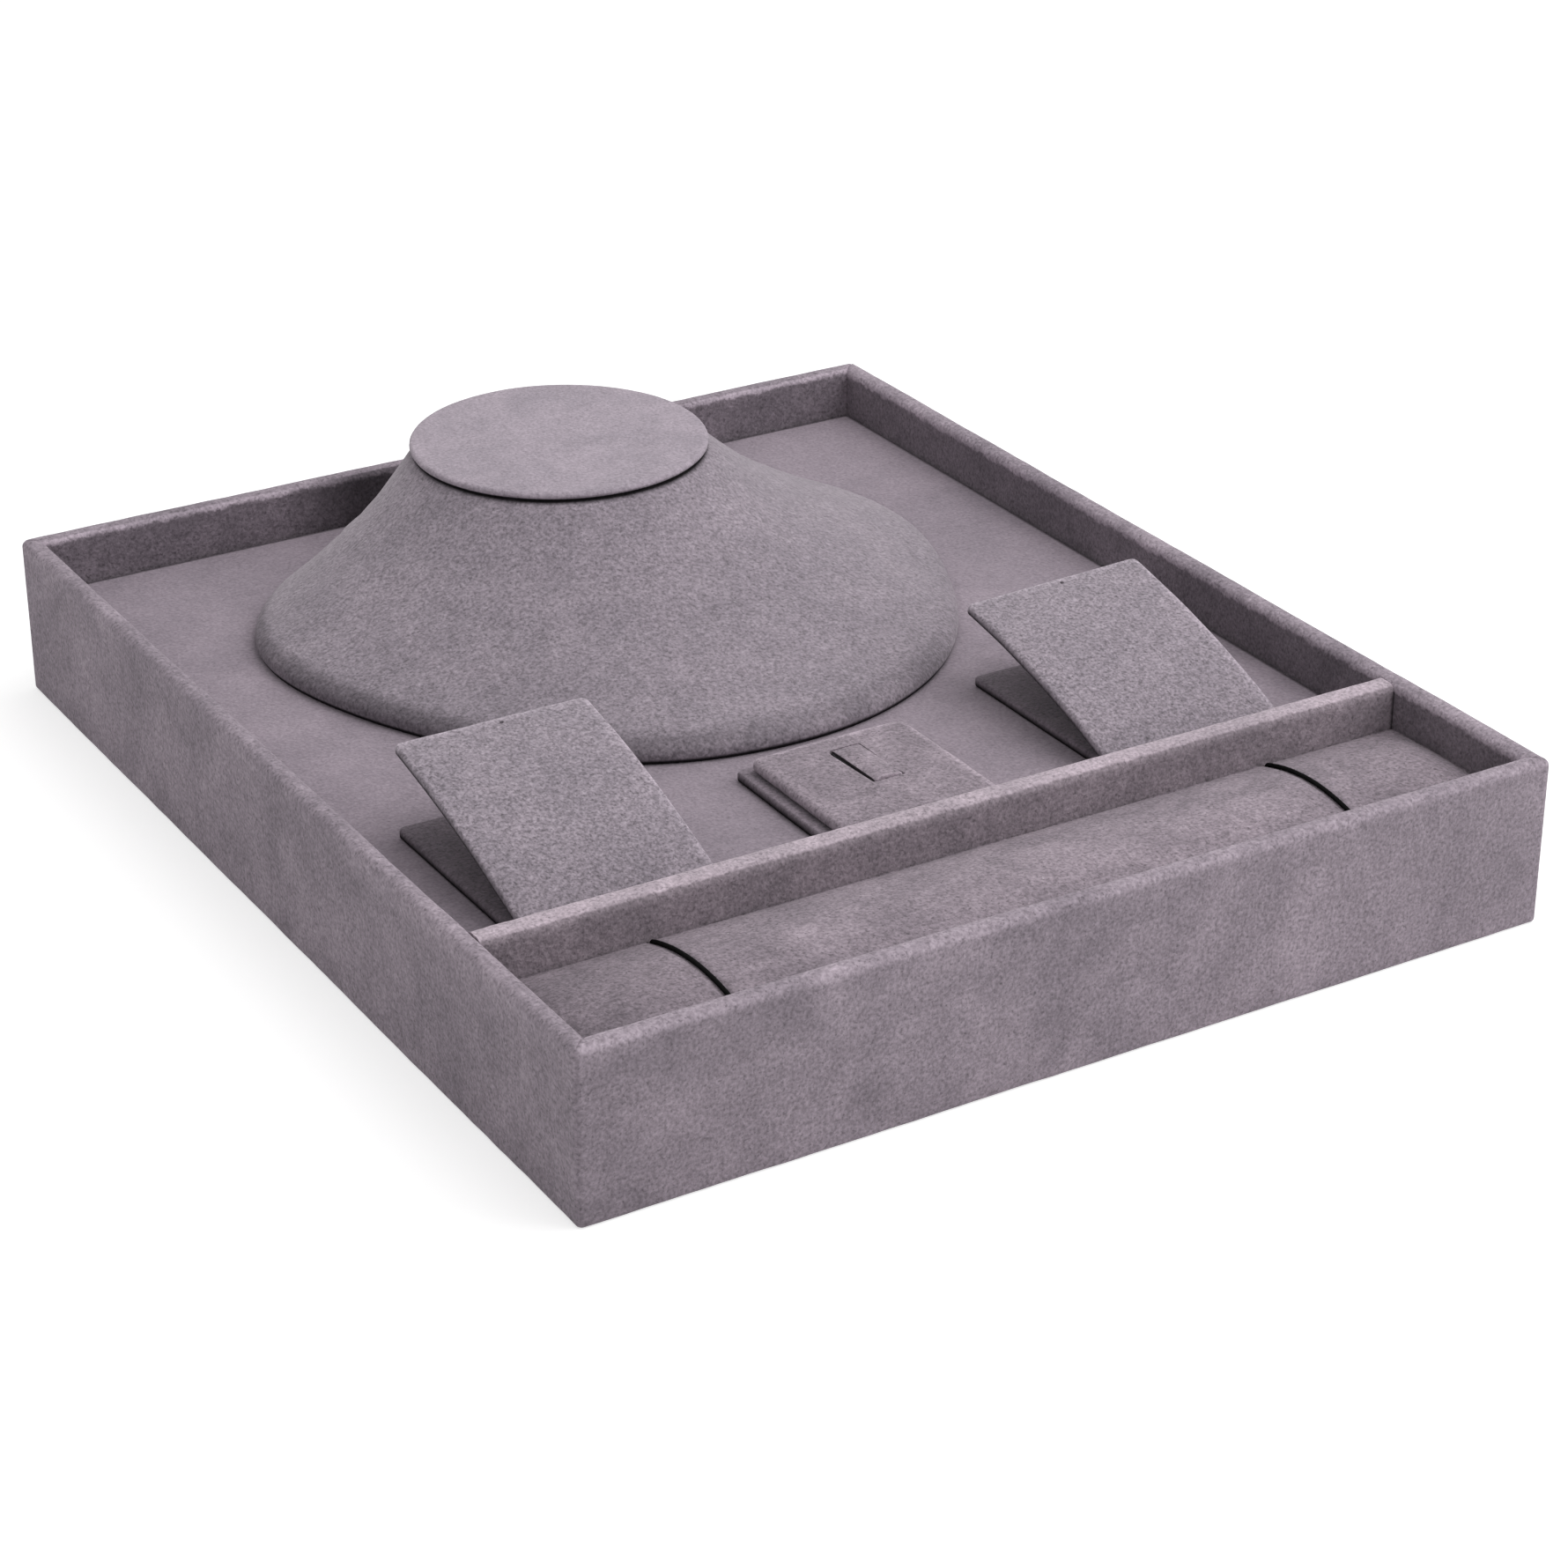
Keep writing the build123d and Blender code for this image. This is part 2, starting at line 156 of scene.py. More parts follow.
def new_material(name):
    material = bpy.data.materials.new(name)
    material.use_nodes = True
    tree = material.node_tree
    tree.nodes.clear()
    return material, tree


# a Mix node that mixes colours takes its factor at socket 0 and the colours at 6 and 7, and gives the
# result at 2
mix_first, mix_second, mix_result = 6, 7, 2
print("a mid grey is", round(tint("#808080")[0], 3), "in linear light")

# %% [markdown]
# ## Suede
#
# The cloth is microfibre suede, also sold as faux suede: a dense felt of very fine fibres, sanded until a
# short nap stands up. To the eye it gives no gloss at all, a sandy grain where fibre tips clump, soft
# blotches where the nap was stroked one way or the other, and a pale bloom where the surface turns away. So
# the recipe is: one body colour, large soft blotches, fine grain, fibre specks, a little sheen on the
# shader, and a bump as deep as the nap. Real tufts are a few tenths of a millimetre wide. The grain is
# drawn about 1 mm wide, so that it shows.
#
# Two attributes carry painted light and shade. The nap attribute says how far each point of a wrapped strip
# lies from its crest, because the outer side, the crest and the inner side get three tones: partly the nap's
# direction, partly painted light on the crest and painted shade on the inner side. The shade attribute paints
# shade into the colour: near 1 in a crease or a shadow, 0 on open cloth, and below 0 a painted highlight
# along an edge that catches light.


# %% Suede material
patch_size, patch_depth = 0.3, 0.45
clump_size, clump_depth = 2.6, 0.38
gap_size = 0.9


def suede(name, warm, cool, blotch_mm=26.0, blotch=0.55, grain_mm=1.05, grain=1.15, speck=0.3, streak=0.0,
          nap_and_painted_light_tones=None, bump_mm=0.35, sheen=0.25):
    """blotch, grain, speck and streak are how deep a pattern goes. The nap tones are the tones of a
    strip's outer side, crest and inner side: partly the nap's direction, partly painted light and shade."""
    material, tree = new_material(name)
    place = add(tree, "ShaderNodeTexCoord").outputs["Object"]

    def pattern(size_mm, detail, roughness, vector=place, distortion=0.0):
        inputs = {"Vector": vector, "Scale": per_metre(size_mm), "Detail": detail, "Roughness": roughness,
                  "Distortion": distortion}
        return add(tree, "ShaderNodeTexNoise", inputs)

    # two sizes of stroked nap, and two sizes of tufts: the larger tufts are clumps of the small ones
    stroked = pattern(blotch_mm, detail=3.0, roughness=0.55, distortion=0.8)
    patchy = pattern(blotch_mm * patch_size, detail=2.5, roughness=0.6, distortion=0.5)
    tips = pattern(grain_mm, detail=1.0, roughness=0.6)
    clump = pattern(grain_mm * clump_size, detail=2.0, roughness=0.6)
    tones = [level(tree, stroked, blotch), level(tree, patchy, blotch * patch_depth),
             level(tree, tips, grain), level(tree, clump, grain * clump_depth)]
    # soft steps: what is measured, where the step starts and ends, and the tone before and after it.
    # The first is the odd gap between tufts, which shows as a dark speck
    steps = [(pattern(grain_mm * gap_size, detail=1.0, roughness=0.5), 0.60, 0.70, 1.0, 1 - speck)]
    # the crest is painted lighter and the inner side darker: painted light and shade, partly the nap's direction
    if nap_and_painted_light_tones:
        outer, crest, inner = nap_and_painted_light_tones
        drop = add(tree, "ShaderNodeAttribute", attribute_name="nap").outputs["Fac"]
        # the crest's band of painted light has a ragged border
        ragged = level(tree, pattern(4.5, detail=4.0, roughness=0.7), 5.0 * mm, drop)
        steps += [(ragged, 2.6 * mm, 7.0 * mm, crest, outer),
                  (ragged, -2.2 * mm, -0.9 * mm, inner / crest, 1.0)]
    for step in steps:
        tones.append(add(tree, "ShaderNodeMapRange", step, interpolation_type="SMOOTHSTEP"))
    if streak:
        # brushed streaks that run down the cloth, wider than one fibre so that they show
        narrow = add(tree, "ShaderNodeMapping", {"Vector": place, "Scale": (1.0, 1.0, 0.12)})
        tones.append(level(tree, pattern(3.2, detail=2.5, roughness=0.6, vector=narrow), streak))
    # the shade attribute paints shade into the colour, and a painted highlight where it is below zero
    shade = add(tree, "ShaderNodeAttribute", attribute_name="shade").outputs["Fac"]
    tone = add(tree, "ShaderNodeMath", [shade, -0.95, 1.0], operation="MULTIPLY_ADD")
    for other in tones:
        tone = add(tree, "ShaderNodeMath", [tone, other], operation="MULTIPLY")
    hue = level(tree, stroked, 3.0, 0.5, clamp=True)
    colour = add(tree, "ShaderNodeMix", {0: hue, mix_first: tint(cool), mix_second: tint(warm)},
                 data_type="RGBA")
    toned = add(tree, "ShaderNodeVectorMath", {0: colour.outputs[mix_result], "Scale": tone},
                operation="SCALE")
    height = add(tree, "ShaderNodeMath", [tips, 0.7], operation="MULTIPLY")
    height = add(tree, "ShaderNodeMath", [clump, 0.9, height], operation="MULTIPLY_ADD")
    bump = add(tree, "ShaderNodeBump", {"Strength": 1.0, "Distance": bump_mm * mm, "Height": height})
    # painted shade also takes the sheen away, deep in a crease
    open_cloth = add(tree, "ShaderNodeMath", [1.0, shade], operation="SUBTRACT", use_clamp=True)
    bloom = add(tree, "ShaderNodeMath", [open_cloth, sheen], operation="MULTIPLY")
    shader = add(tree, "ShaderNodeBsdfPrincipled", {"Base Color": toned, "Roughness": 0.94, "Normal": bump,
                                                    "Specular IOR Level": 0.12, "Sheen Weight": bloom,
                                                    "Sheen Roughness": 0.55, "Sheen Tint": tint("#efe8ed")})
    add(tree, "ShaderNodeOutputMaterial", {"Surface": shader})
    return material


wall_suede = suede("microfibre_suede_on_walls", "#938891", "#8a8089", blotch_mm=34, blotch=0.55, streak=0.12,
                   nap_and_painted_light_tones=(1.0, 1.10, 0.50), sheen=0.15)
divider_suede = suede("microfibre_suede_on_divider", "#998d95", "#92878f", blotch_mm=24,
                      nap_and_painted_light_tones=(0.86, 1.44, 0.84))
floor_suede = suede("microfibre_suede_floor_lining", "#978b95", "#918690", blotch_mm=44, blotch=0.35,
                    grain=0.7, speck=0.1)
bust_suede = suede("microfibre_suede_on_bust", "#8f858e", "#887f88", blotch_mm=22, blotch=0.3, grain=1.45,
                   sheen=0.45)
cap_suede = suede("microfibre_suede_on_cap", "#a499a3", "#9e949e", blotch_mm=18, blotch=0.3, grain=0.8,
                  speck=0.15)
ramp_suede = suede("microfibre_suede_on_ramps", "#938992", "#8d848d", blotch_mm=16, blotch=0.22, grain=1.7,
                   grain_mm=0.95, speck=0.35, sheen=0.4)
# the bases' suede is painted darker than the rest: painted shade under the ramps and the ring pad
shaded_base_suede = suede("microfibre_suede_on_bases", "#766c74", "#6f666e", blotch_mm=18, blotch=0.4)
pad_suede = suede("microfibre_suede_over_foam", "#948891", "#8c818a", blotch_mm=20, blotch=0.7, grain=1.3,
                  speck=0.35)
print("suede finishes:", len([m for m in bpy.data.materials if "suede" in m.name]))

# %% [markdown]
# ## What the cloth hides
#
# Under the cloth there are boards of fibreboard, a carved wooden form in the bust, a card of springy
# plastic in the tongue, and felt underneath. They hardly show, but each has its own finish: pressed wood
# fibres lie as fine short flecks, carved softwood has drawn-out rings, calendered plastic is even with a
# soft gloss, and felt is matted dark fibre.


# %% Hidden materials
def plain_finish(name, dark, light, size_mm, stretch=(1.0, 1.0, 1.0), roughness=0.85, bump_mm=0.1):
    """Two colours mixed in flecks of a size, drawn out along an axis where stretch is small."""
    material, tree = new_material(name)
    place = add(tree, "ShaderNodeTexCoord").outputs["Object"]
    drawn = add(tree, "ShaderNodeMapping", {"Vector": place, "Scale": stretch})
    fleck = add(tree, "ShaderNodeTexNoise", {"Vector": drawn, "Scale": per_metre(size_mm), "Detail": 4.0,
                                             "Roughness": 0.65})
    fleck = level(tree, fleck, 2.4, 0.5, clamp=True)
    colour = add(tree, "ShaderNodeMix", {0: fleck, mix_first: tint(dark), mix_second: tint(light)},
                 data_type="RGBA")
    bump = add(tree, "ShaderNodeBump", {"Strength": 1.0, "Distance": bump_mm * mm, "Height": fleck})
    shader = add(tree, "ShaderNodeBsdfPrincipled", {"Base Color": colour.outputs[mix_result],
                                                    "Roughness": roughness, "Normal": bump,
                                                    "Specular IOR Level": 0.3})
    add(tree, "ShaderNodeOutputMaterial", {"Surface": shader})
    return material


fibreboard = plain_finish("pressed_fibreboard", "#8a6f4d", "#b1966e", 0.9)
hidden_finish = {
    "fibreboard": fibreboard,
    "carved_wood": plain_finish("carved_softwood", "#b08a5a", "#d2b184", 2.4, stretch=(1.0, 0.12, 1.0),
                                roughness=0.7),
    "base_felt": plain_finish("needled_wool_felt", "#2b292b", "#474447", 1.1, roughness=0.98, bump_mm=0.3),
    "spring_card": plain_finish("calendered_plastic_card", "#3a3a3c", "#48484a", 3.0, roughness=0.5,
                                bump_mm=0.02),
    "suede": shaded_base_suede,
    "padded_suede": pad_suede,
    "floor_suede": floor_suede,
}
for part in frame["record"]["subparts"]:
    mesh = frame["nodes"][part["node"]].data
    mesh.materials.clear()
    mesh.materials.append(hidden_finish.get(part["material_slot"], shaded_base_suede))
print("every carried-over node has a finish")

# %% [markdown]
# ## Making a piece
#
# All pieces are finished the same way: the mesh is turned into an object at the origin, smoothed, given its
# cloth and set on its body, and the frame's node that it stands for is hidden. A small wobble along the
# normals, with a fixed pattern, takes the machine-straight look away: wrapped cloth is never flatter than about
# a tenth of a millimetre.


# %% Helpers for pieces
def finish_piece(name, built, material, body, nodes=(), sharp_angle=radians(50)):
    """Turns a bmesh or a mesh into a piece of the object."""
    if isinstance(built, bmesh.types.BMesh):
        mesh = bpy.data.meshes.new(name)
        built.to_mesh(mesh)
        built.free()
    else:
        mesh = built
    mesh.materials.clear()
    mesh.materials.append(material)
    for face in mesh.polygons:
        face.use_smooth = True
        face.material_index = 0
    piece = bpy.data.objects.new(name, mesh)
    scene.collection.objects.link(piece)
    mesh.set_sharp_from_angle(angle=sharp_angle)
    if nodes:
        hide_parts(*nodes)
    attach(piece, body)
    print(name, "has", len(mesh.polygons), "faces")
    return piece


def clamped(value):
    """The value, kept between 0 and 1."""
    return min(1.0, max(0.0, value))


def wobble(bm, height_mm, size_mm, seed, keep=None):
    """Moves each point along its normal by smooth noise. keep(point) scales the move, from 0 to 1."""
    bm.normal_update()
    offset = Vector((seed * 1.7, seed * 3.1, seed * 5.3))
    for vert in bm.verts:
        lift = noise.noise(vert.co / (size_mm * mm) + offset) * height_mm * mm
        vert.co += vert.normal * lift * (keep(vert.co) if keep else 1.0)


def slice_through(bm, point, normal):
    """Splits every face that a plane crosses, which gives points to shape the cloth with."""
    everything = bm.verts[:] + bm.edges[:] + bm.faces[:]
    bmesh.ops.bisect_plane(bm, geom=everything, plane_co=point, plane_no=normal, dist=1e-6)


def plate(low, high, corner, edge, cell, corner_steps=6, edge_steps=4):
    """A flat wrapped plate: rounded corners, soft edges, and a grid of cells to shape the cloth with."""
    bm = bmesh.new()
    bmesh.ops.create_cube(bm, size=1.0)
    low, high = Vector(low), Vector(high)
    middle, size = (low + high) / 2, high - low
    for vert in bm.verts:
        vert.co = Vector([c * s + m for c, s, m in zip(vert.co, size, middle)])
    upright = [e for e in bm.edges if abs(e.verts[0].co.z - e.verts[1].co.z) > size.z / 2]
    bmesh.ops.bevel(bm, geom=upright, offset=corner, offset_type="OFFSET", segments=corner_steps, profile=0.5,
                    affect="EDGES")
    rims = [e for e in bm.edges if abs(e.verts[0].co.z - e.verts[1].co.z) < 1e-7]
    bmesh.ops.bevel(bm, geom=rims, offset=edge, offset_type="OFFSET", segments=edge_steps, profile=0.5,
                    affect="EDGES")
    for axis, normal in ((0, (1, 0, 0)), (1, (0, 1, 0))):
        count = int(size[axis] / cell)
        for k in range(1, count):
            point = middle.copy()
            point[axis] = low[axis] + size[axis] * k / count
            slice_through(bm, point, normal)
    return bm


def mark(piece, name, measure):
    """Stores a number at each point, for the cloth's material to read: its nap or its shade."""
    mesh = piece.data
    kept = mesh.attributes.new(name, "FLOAT", "POINT")
    kept.data.foreach_set("value", [measure(vert.co) for vert in mesh.vertices])


def low_crease(bottom, height):
    """A measure that is 1 from the bottom up to half the height and fades to 0 at the height."""
    return lambda point: clamped(2 - 2 * (point.z - bottom) / height)


def lit_edge(low, high, width, light):
    """A measure below zero along a flat piece's right and rear edges: a painted highlight where the edge catches
    light.
    """
    def measure(point):
        away = min(high[0] - point.x, high[1] - point.y)
        return -light * clamped(2.0 - away / width)
    return measure


# %% [markdown]
# ## The tray's wrapped walls
#
# A real wall is a board with one strip of suede glued round it: it starts under the tray, runs up the
# outside, over the rounded rim and down inside to below the floor. At each corner the strips meet on a
# mitre. A cube with a bevel would give the shape, but not the strip, so the skin is swept: a closed outline
# of the strip's section, set at many stations along the wall. Each point of the outline keeps its own depth
# behind the outer face, which makes the ends fall on the mitre and turns the outer corner in an arc by
# itself.


# %% Sections and sweeps
rim_radius = 2.3 * mm
corner_radius = 1.8 * mm
foot_radius = 1.2 * mm
turn_under = 14.0 * mm
skirt_bottom = floor_top - 2.5 * mm
hidden_step = 6 * mm


def arc(centre, radius, start, finish, steps):
    """Points on an arc from one angle to another, in degrees."""
    return [(centre[0] + radius * cos(radians(a)), centre[1] + radius * sin(radians(a)))
            for a in np.linspace(start, finish, steps + 1)]


def spread(points, step):
    """Adds points on the long stretches of an open line, none further apart than step."""
    line = [points[0]]
    for before, after in zip(points, points[1:]):
        count = max(1, round(hypot(after[0] - before[0], after[1] - before[1]) / step))
        for k in range(1, count + 1):
            share = k / count
            line.append((before[0] + (after[0] - before[0]) * share,
                         before[1] + (after[1] - before[1]) * share))
    return line


def wall_section():
    """Closed section of the strip, as (depth behind the outer face, height)."""
    t, r, top = suede_thickness, rim_radius, rim_height
    outer = [(turn_under, 0)] + arc((foot_radius, foot_radius), foot_radius, 270, 180, 4)
    outer += arc((r, top - r), r, 180, 90, 7) + arc((wall - r, top - r), r, 90, 0, 7) + [(wall, skirt_bottom)]
    inner = [(wall - t, skirt_bottom)] + arc((wall - r, top - r), r - t, 0, 90, 4)
    inner += (arc((r, top - r), r - t, 90, 180, 4)
              + arc((foot_radius, foot_radius), foot_radius - t, 180, 270, 3))
    inner += [(turn_under, t)]
    return spread(outer, 1.3 * mm) + spread(inner, hidden_step)


def along_wall(share, depth, half):
    """How far along the wall and how deep a point lies, round the outer corner. share goes from -1 to 1."""
    radius = max(corner_radius - depth, 0)
    straight = half - max(corner_radius, depth)
    s = share * (straight + radius * pi / 4)
    if radius == 0:
        return max(-straight, min(straight, s)), depth
    if abs(s) <= straight:
        return s, depth
    angle = (abs(s) - straight) / radius
    return (1 if s > 0 else -1) * (straight + radius * sin(angle)), corner_radius - radius * cos(angle)


def swept_skin(section, shares, place):
    """A closed section set at stations. place(share, depth, height) gives the point in the tray."""
    bm = bmesh.new()
    rows = [[bm.verts.new(place(share, d, z)) for d, z in section] for share in shares]
    for row, following in zip(rows, rows[1:]):
        for k in range(len(section)):
            n = (k + 1) % len(section)
            bm.faces.new((row[k], row[n], following[n], following[k]))
    bm.faces.new(rows[0])
    bm.faces.new(rows[-1][::-1])
    bmesh.ops.recalc_face_normals(bm, faces=bm.faces[:])
    return bm


def stations(count):
    """Shares from -1 to 1, closer together near the ends, where the corner turns."""
    even = np.linspace(-1, 1, count)
    ends = 1 - np.array([0.02, 0.0135, 0.0105, 0.009, 0.0075, 0.006, 0.0045, 0.003, 0.0015])
    return sorted(set(np.round(np.concatenate([even, ends, -ends]), 6)))


print("the wall's section has", len(wall_section()), "points")

# %% [markdown]
# The four walls are one shape turned about the tray's middle. What differs is the painted light and shade:
# how fast the crest's painted light ends on the outer side, how much light or shade is painted on the crest
# and the inner side, and the bust's painted shadow on the back wall.

# %% Wall skins
wall_turns = {"front": 0, "right": 90, "back": 180, "left": 270}
crest_painted_light_reach = {"front": 2.2, "right": 1.0, "back": 1.0, "left": 0.9}
crest_shade = {"front": -0.14, "right": -0.04, "back": 0.0, "left": 0.0}
inner_shade = {"front": 0.0, "right": -0.27, "back": -0.5, "left": 0.0}
outer_shade = {"front": 0.10, "right": 0.0, "back": 0.0, "left": 0.0}
mitre_width, mitre_dip, mitre_depth = 1.1 * mm, 0.4 * mm, 3 * mm
crest_depth = 2.3 * mm
# the bust's shadow on the back wall: how deep it is, where it starts and is full on the left, and on the
# right
bust_shadow = 1.05
shadow_left, shadow_right = (-66 * mm, -40 * mm), (20 * mm, -20 * mm)


def wall_skin(side):
    half, across = (half_width, half_depth) if side in ("front", "back") else (half_depth, half_width)
    spin = Matrix.Rotation(radians(wall_turns[side]), 3, "Z")

    def place(share, depth, height):
        s, d = along_wall(share, depth, half)
        return spin @ Vector((s, d - across, height))

    def measures(point):
        """How deep behind the outer face a point lies, how far below the rim, and how far from the mitre."""
        local = spin.transposed() @ point
        depth = local.y + across
        return depth, rim_height - point.z, abs((half - abs(local.x)) - depth)

    def away_from_mitre(point):
        return clamped(measures(point)[2] / (6 * mm))

    bm = swept_skin(wall_section(), stations(140), place)
    wobble(bm, height_mm=0.16, size_mm=34, seed=3 + wall_turns[side], keep=away_from_mitre)
    wobble(bm, height_mm=0.10, size_mm=7, seed=9 + wall_turns[side], keep=away_from_mitre)
    # the mitre sinks a little where the strips meet on the rim
    for vert in bm.verts:
        depth, drop, gap = measures(vert.co)
        near = clamped(1 - gap / mitre_width)
        vert.co.z -= mitre_dip * near * near * clamped(1 - drop / mitre_depth)
    piece = finish_piece(f"wall_skin_{side}", bm, wall_suede, "root", [f"wall_cover_{side}"])

    def nap(point):
        depth, drop, gap = measures(point)
        if depth < wall / 2:
            return drop * crest_painted_light_reach[side]
        # on the right wall the crest's painted light reaches further down inside
        return -max(0.0, drop - 1.0 * mm) if side == "right" else -drop

    def shade(point):
        depth, drop, gap = measures(point)
        # painted light or shade, side by side: crest, outer face, inner side, and the bust's shadow
        if depth < wall * 0.8 and drop < crest_depth:
            return crest_shade[side] * clamped(2.2 - drop / mm)
        if depth < wall / 2:
            # painted shade, a little darker towards the left end
            return outer_shade[side] * max(0.0, -point.x / half_width)
        if side != "back":
            return inner_shade[side]
        behind = 1.0
        for start, full in (shadow_left, shadow_right):
            behind *= clamped((point.x - start) / (full - start))
        return inner_shade[side] + bust_shadow * behind

    mark(piece, "nap", nap)
    mark(piece, "shade", shade)


for side in wall_turns:
    wall_skin(side)

# %% [markdown]
# ## The divider
#
# The divider is a board with a strip folded over it. The same sweep makes it, with a section like an
# upside-down U and straight ends that butt against the side walls.


# %% Divider skin
def divider_section():
    width = divider_high[1] - divider_low[1]
    low, top, r, t = divider_low[2], divider_high[2], 2.6 * mm, suede_thickness
    outer = ([(0, low)] + arc((r, top - r), r, 180, 90, 7) + arc((width - r, top - r), r, 90, 0, 7)
             + [(width, low)])
    inner = [(width - t, low)] + arc((width - r, top - r), r - t, 0, 90, 4)
    inner += arc((r, top - r), r - t, 90, 180, 4) + [(t, low)]
    return spread(outer, 1.2 * mm) + spread(inner, hidden_step)


def divider_skin():
    def place(share, depth, height):
        return Vector((share * inner_half_width, divider_low[1] + depth, height))

    def from_end(point):
        return inner_half_width - abs(point.x)

    bm = swept_skin(divider_section(), stations(150), place)
    wobble(bm, height_mm=0.22, size_mm=40, seed=17,
           keep=lambda point: min(1.0, from_end(point) / (5 * mm) + 0.1))
    wobble(bm, height_mm=0.10, size_mm=6, seed=19)
    piece = finish_piece("divider_skin", bm, divider_suede, "root", ["divider_cover"])
    middle = (divider_low[1] + divider_high[1]) / 2
    # the crest's painted light ends almost at once in front, and a little further down at the back
    front_reach, back_reach = 8.0, -1.35
    mark(piece, "nap", lambda p: (divider_high[2] - p.z) * (front_reach if p.y < middle else back_reach))

    def shade(point):
        """Painted shade where the ends butt against the side walls, below the crest."""
        return max(0.0, 1 - from_end(point) / (1.2 * mm)) if divider_high[2] - point.z > 2 * mm else 0.0

    mark(piece, "shade", shade)


divider_skin()

# %% [markdown]
# ## Floor linings
#
# Glued flat on the floor board, so they are nearly flat plates. They stop a hair short of the walls, which
# leaves the dark line that frames the real floor, and shade is painted along that line as well.

# %% Floor skins
contact_width = 1.6 * mm
for name, seed in (("floor_lining_main", 23), ("floor_lining_slot", 29)):
    low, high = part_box(name)
    lining = plate(low, high, corner=0.6 * mm, edge=0.35 * mm, cell=5 * mm, corner_steps=2, edge_steps=2)
    # more points near the edges, where the shade changes fast
    for axis, normal in ((0, (1, 0, 0)), (1, (0, 1, 0))):
        for edge, sign in ((low[axis], 1), (high[axis], -1)):
            for inset in (0.7 * mm, contact_width):
                point = Vector((0, 0, 0))
                point[axis] = edge + sign * inset
                slice_through(lining, point, normal)
    wobble(lining, height_mm=0.12, size_mm=45, seed=seed,
           keep=lambda p: 1.0 if p.z > floor_top - 0.5 * mm else 0.0)
    skin = finish_piece(name + "_skin", lining, floor_suede, "root", [name])
    gap = lambda p: min(p.x - low[0], high[0] - p.x, p.y - low[1], high[1] - p.y)
    # painted shade along the edges, where the lining meets the walls
    mark(skin, "shade", lambda p: 0.75 * clamped((contact_width - gap(p)) / (0.9 * mm)))

# %% [markdown]
# ## The necklace bust
#
# The bust is an egg-shaped foot that sweeps up in a hollow curve to a round neck. The model's loft is built
# of ruled bands, which is right for making it, but stretched suede shows no bands. So rays are shot at the
# model from all round, level by level, and the hits become a cloth skin: smoothed from level to level, with
# the soft waves that stretched cloth keeps. A solidify step would double every triangle for an inside that
# nobody sees, so the skin is one closed sheet: a flat sole, set in a little from the foot, and a top that
# the neck cap hides.


# %% Bust skin
def model_tree(node):
    """A ray-casting tree of a node of the frame."""
    mesh = frame["nodes"][node].data
    points = [v.co.copy() for v in mesh.vertices]
    return BVHTree.FromPolygons(points, [tuple(p.vertices) for p in mesh.polygons])


bust_low, bust_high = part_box("bust_cover")
cap_low, cap_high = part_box("neck_cap_cover")
neck = Vector(((cap_low[0] + cap_high[0]) / 2, (cap_low[1] + cap_high[1]) / 2, 0))
foot_pole = Vector((neck.x, bust_low[1] + 0.497 * (bust_high[1] - bust_low[1]), 0))
bust_rounds = 288
bust_levels = 84
smoothing_rounds = 6
# the cloth's turned edge makes the foot a little wider in front, most of all on the right
front_right, front_left = radians(-55), radians(-140)
wider_in_front, wider_on_right, widening_height = 0.45 * mm, 0.75 * mm, 12 * mm
# and it stands out as a soft ridge on the left
ridge_reach, ridge_height, ridge_spread = 0.7 * mm, 6.5 * mm, 4 * mm
sole_inset = 2.0 * mm


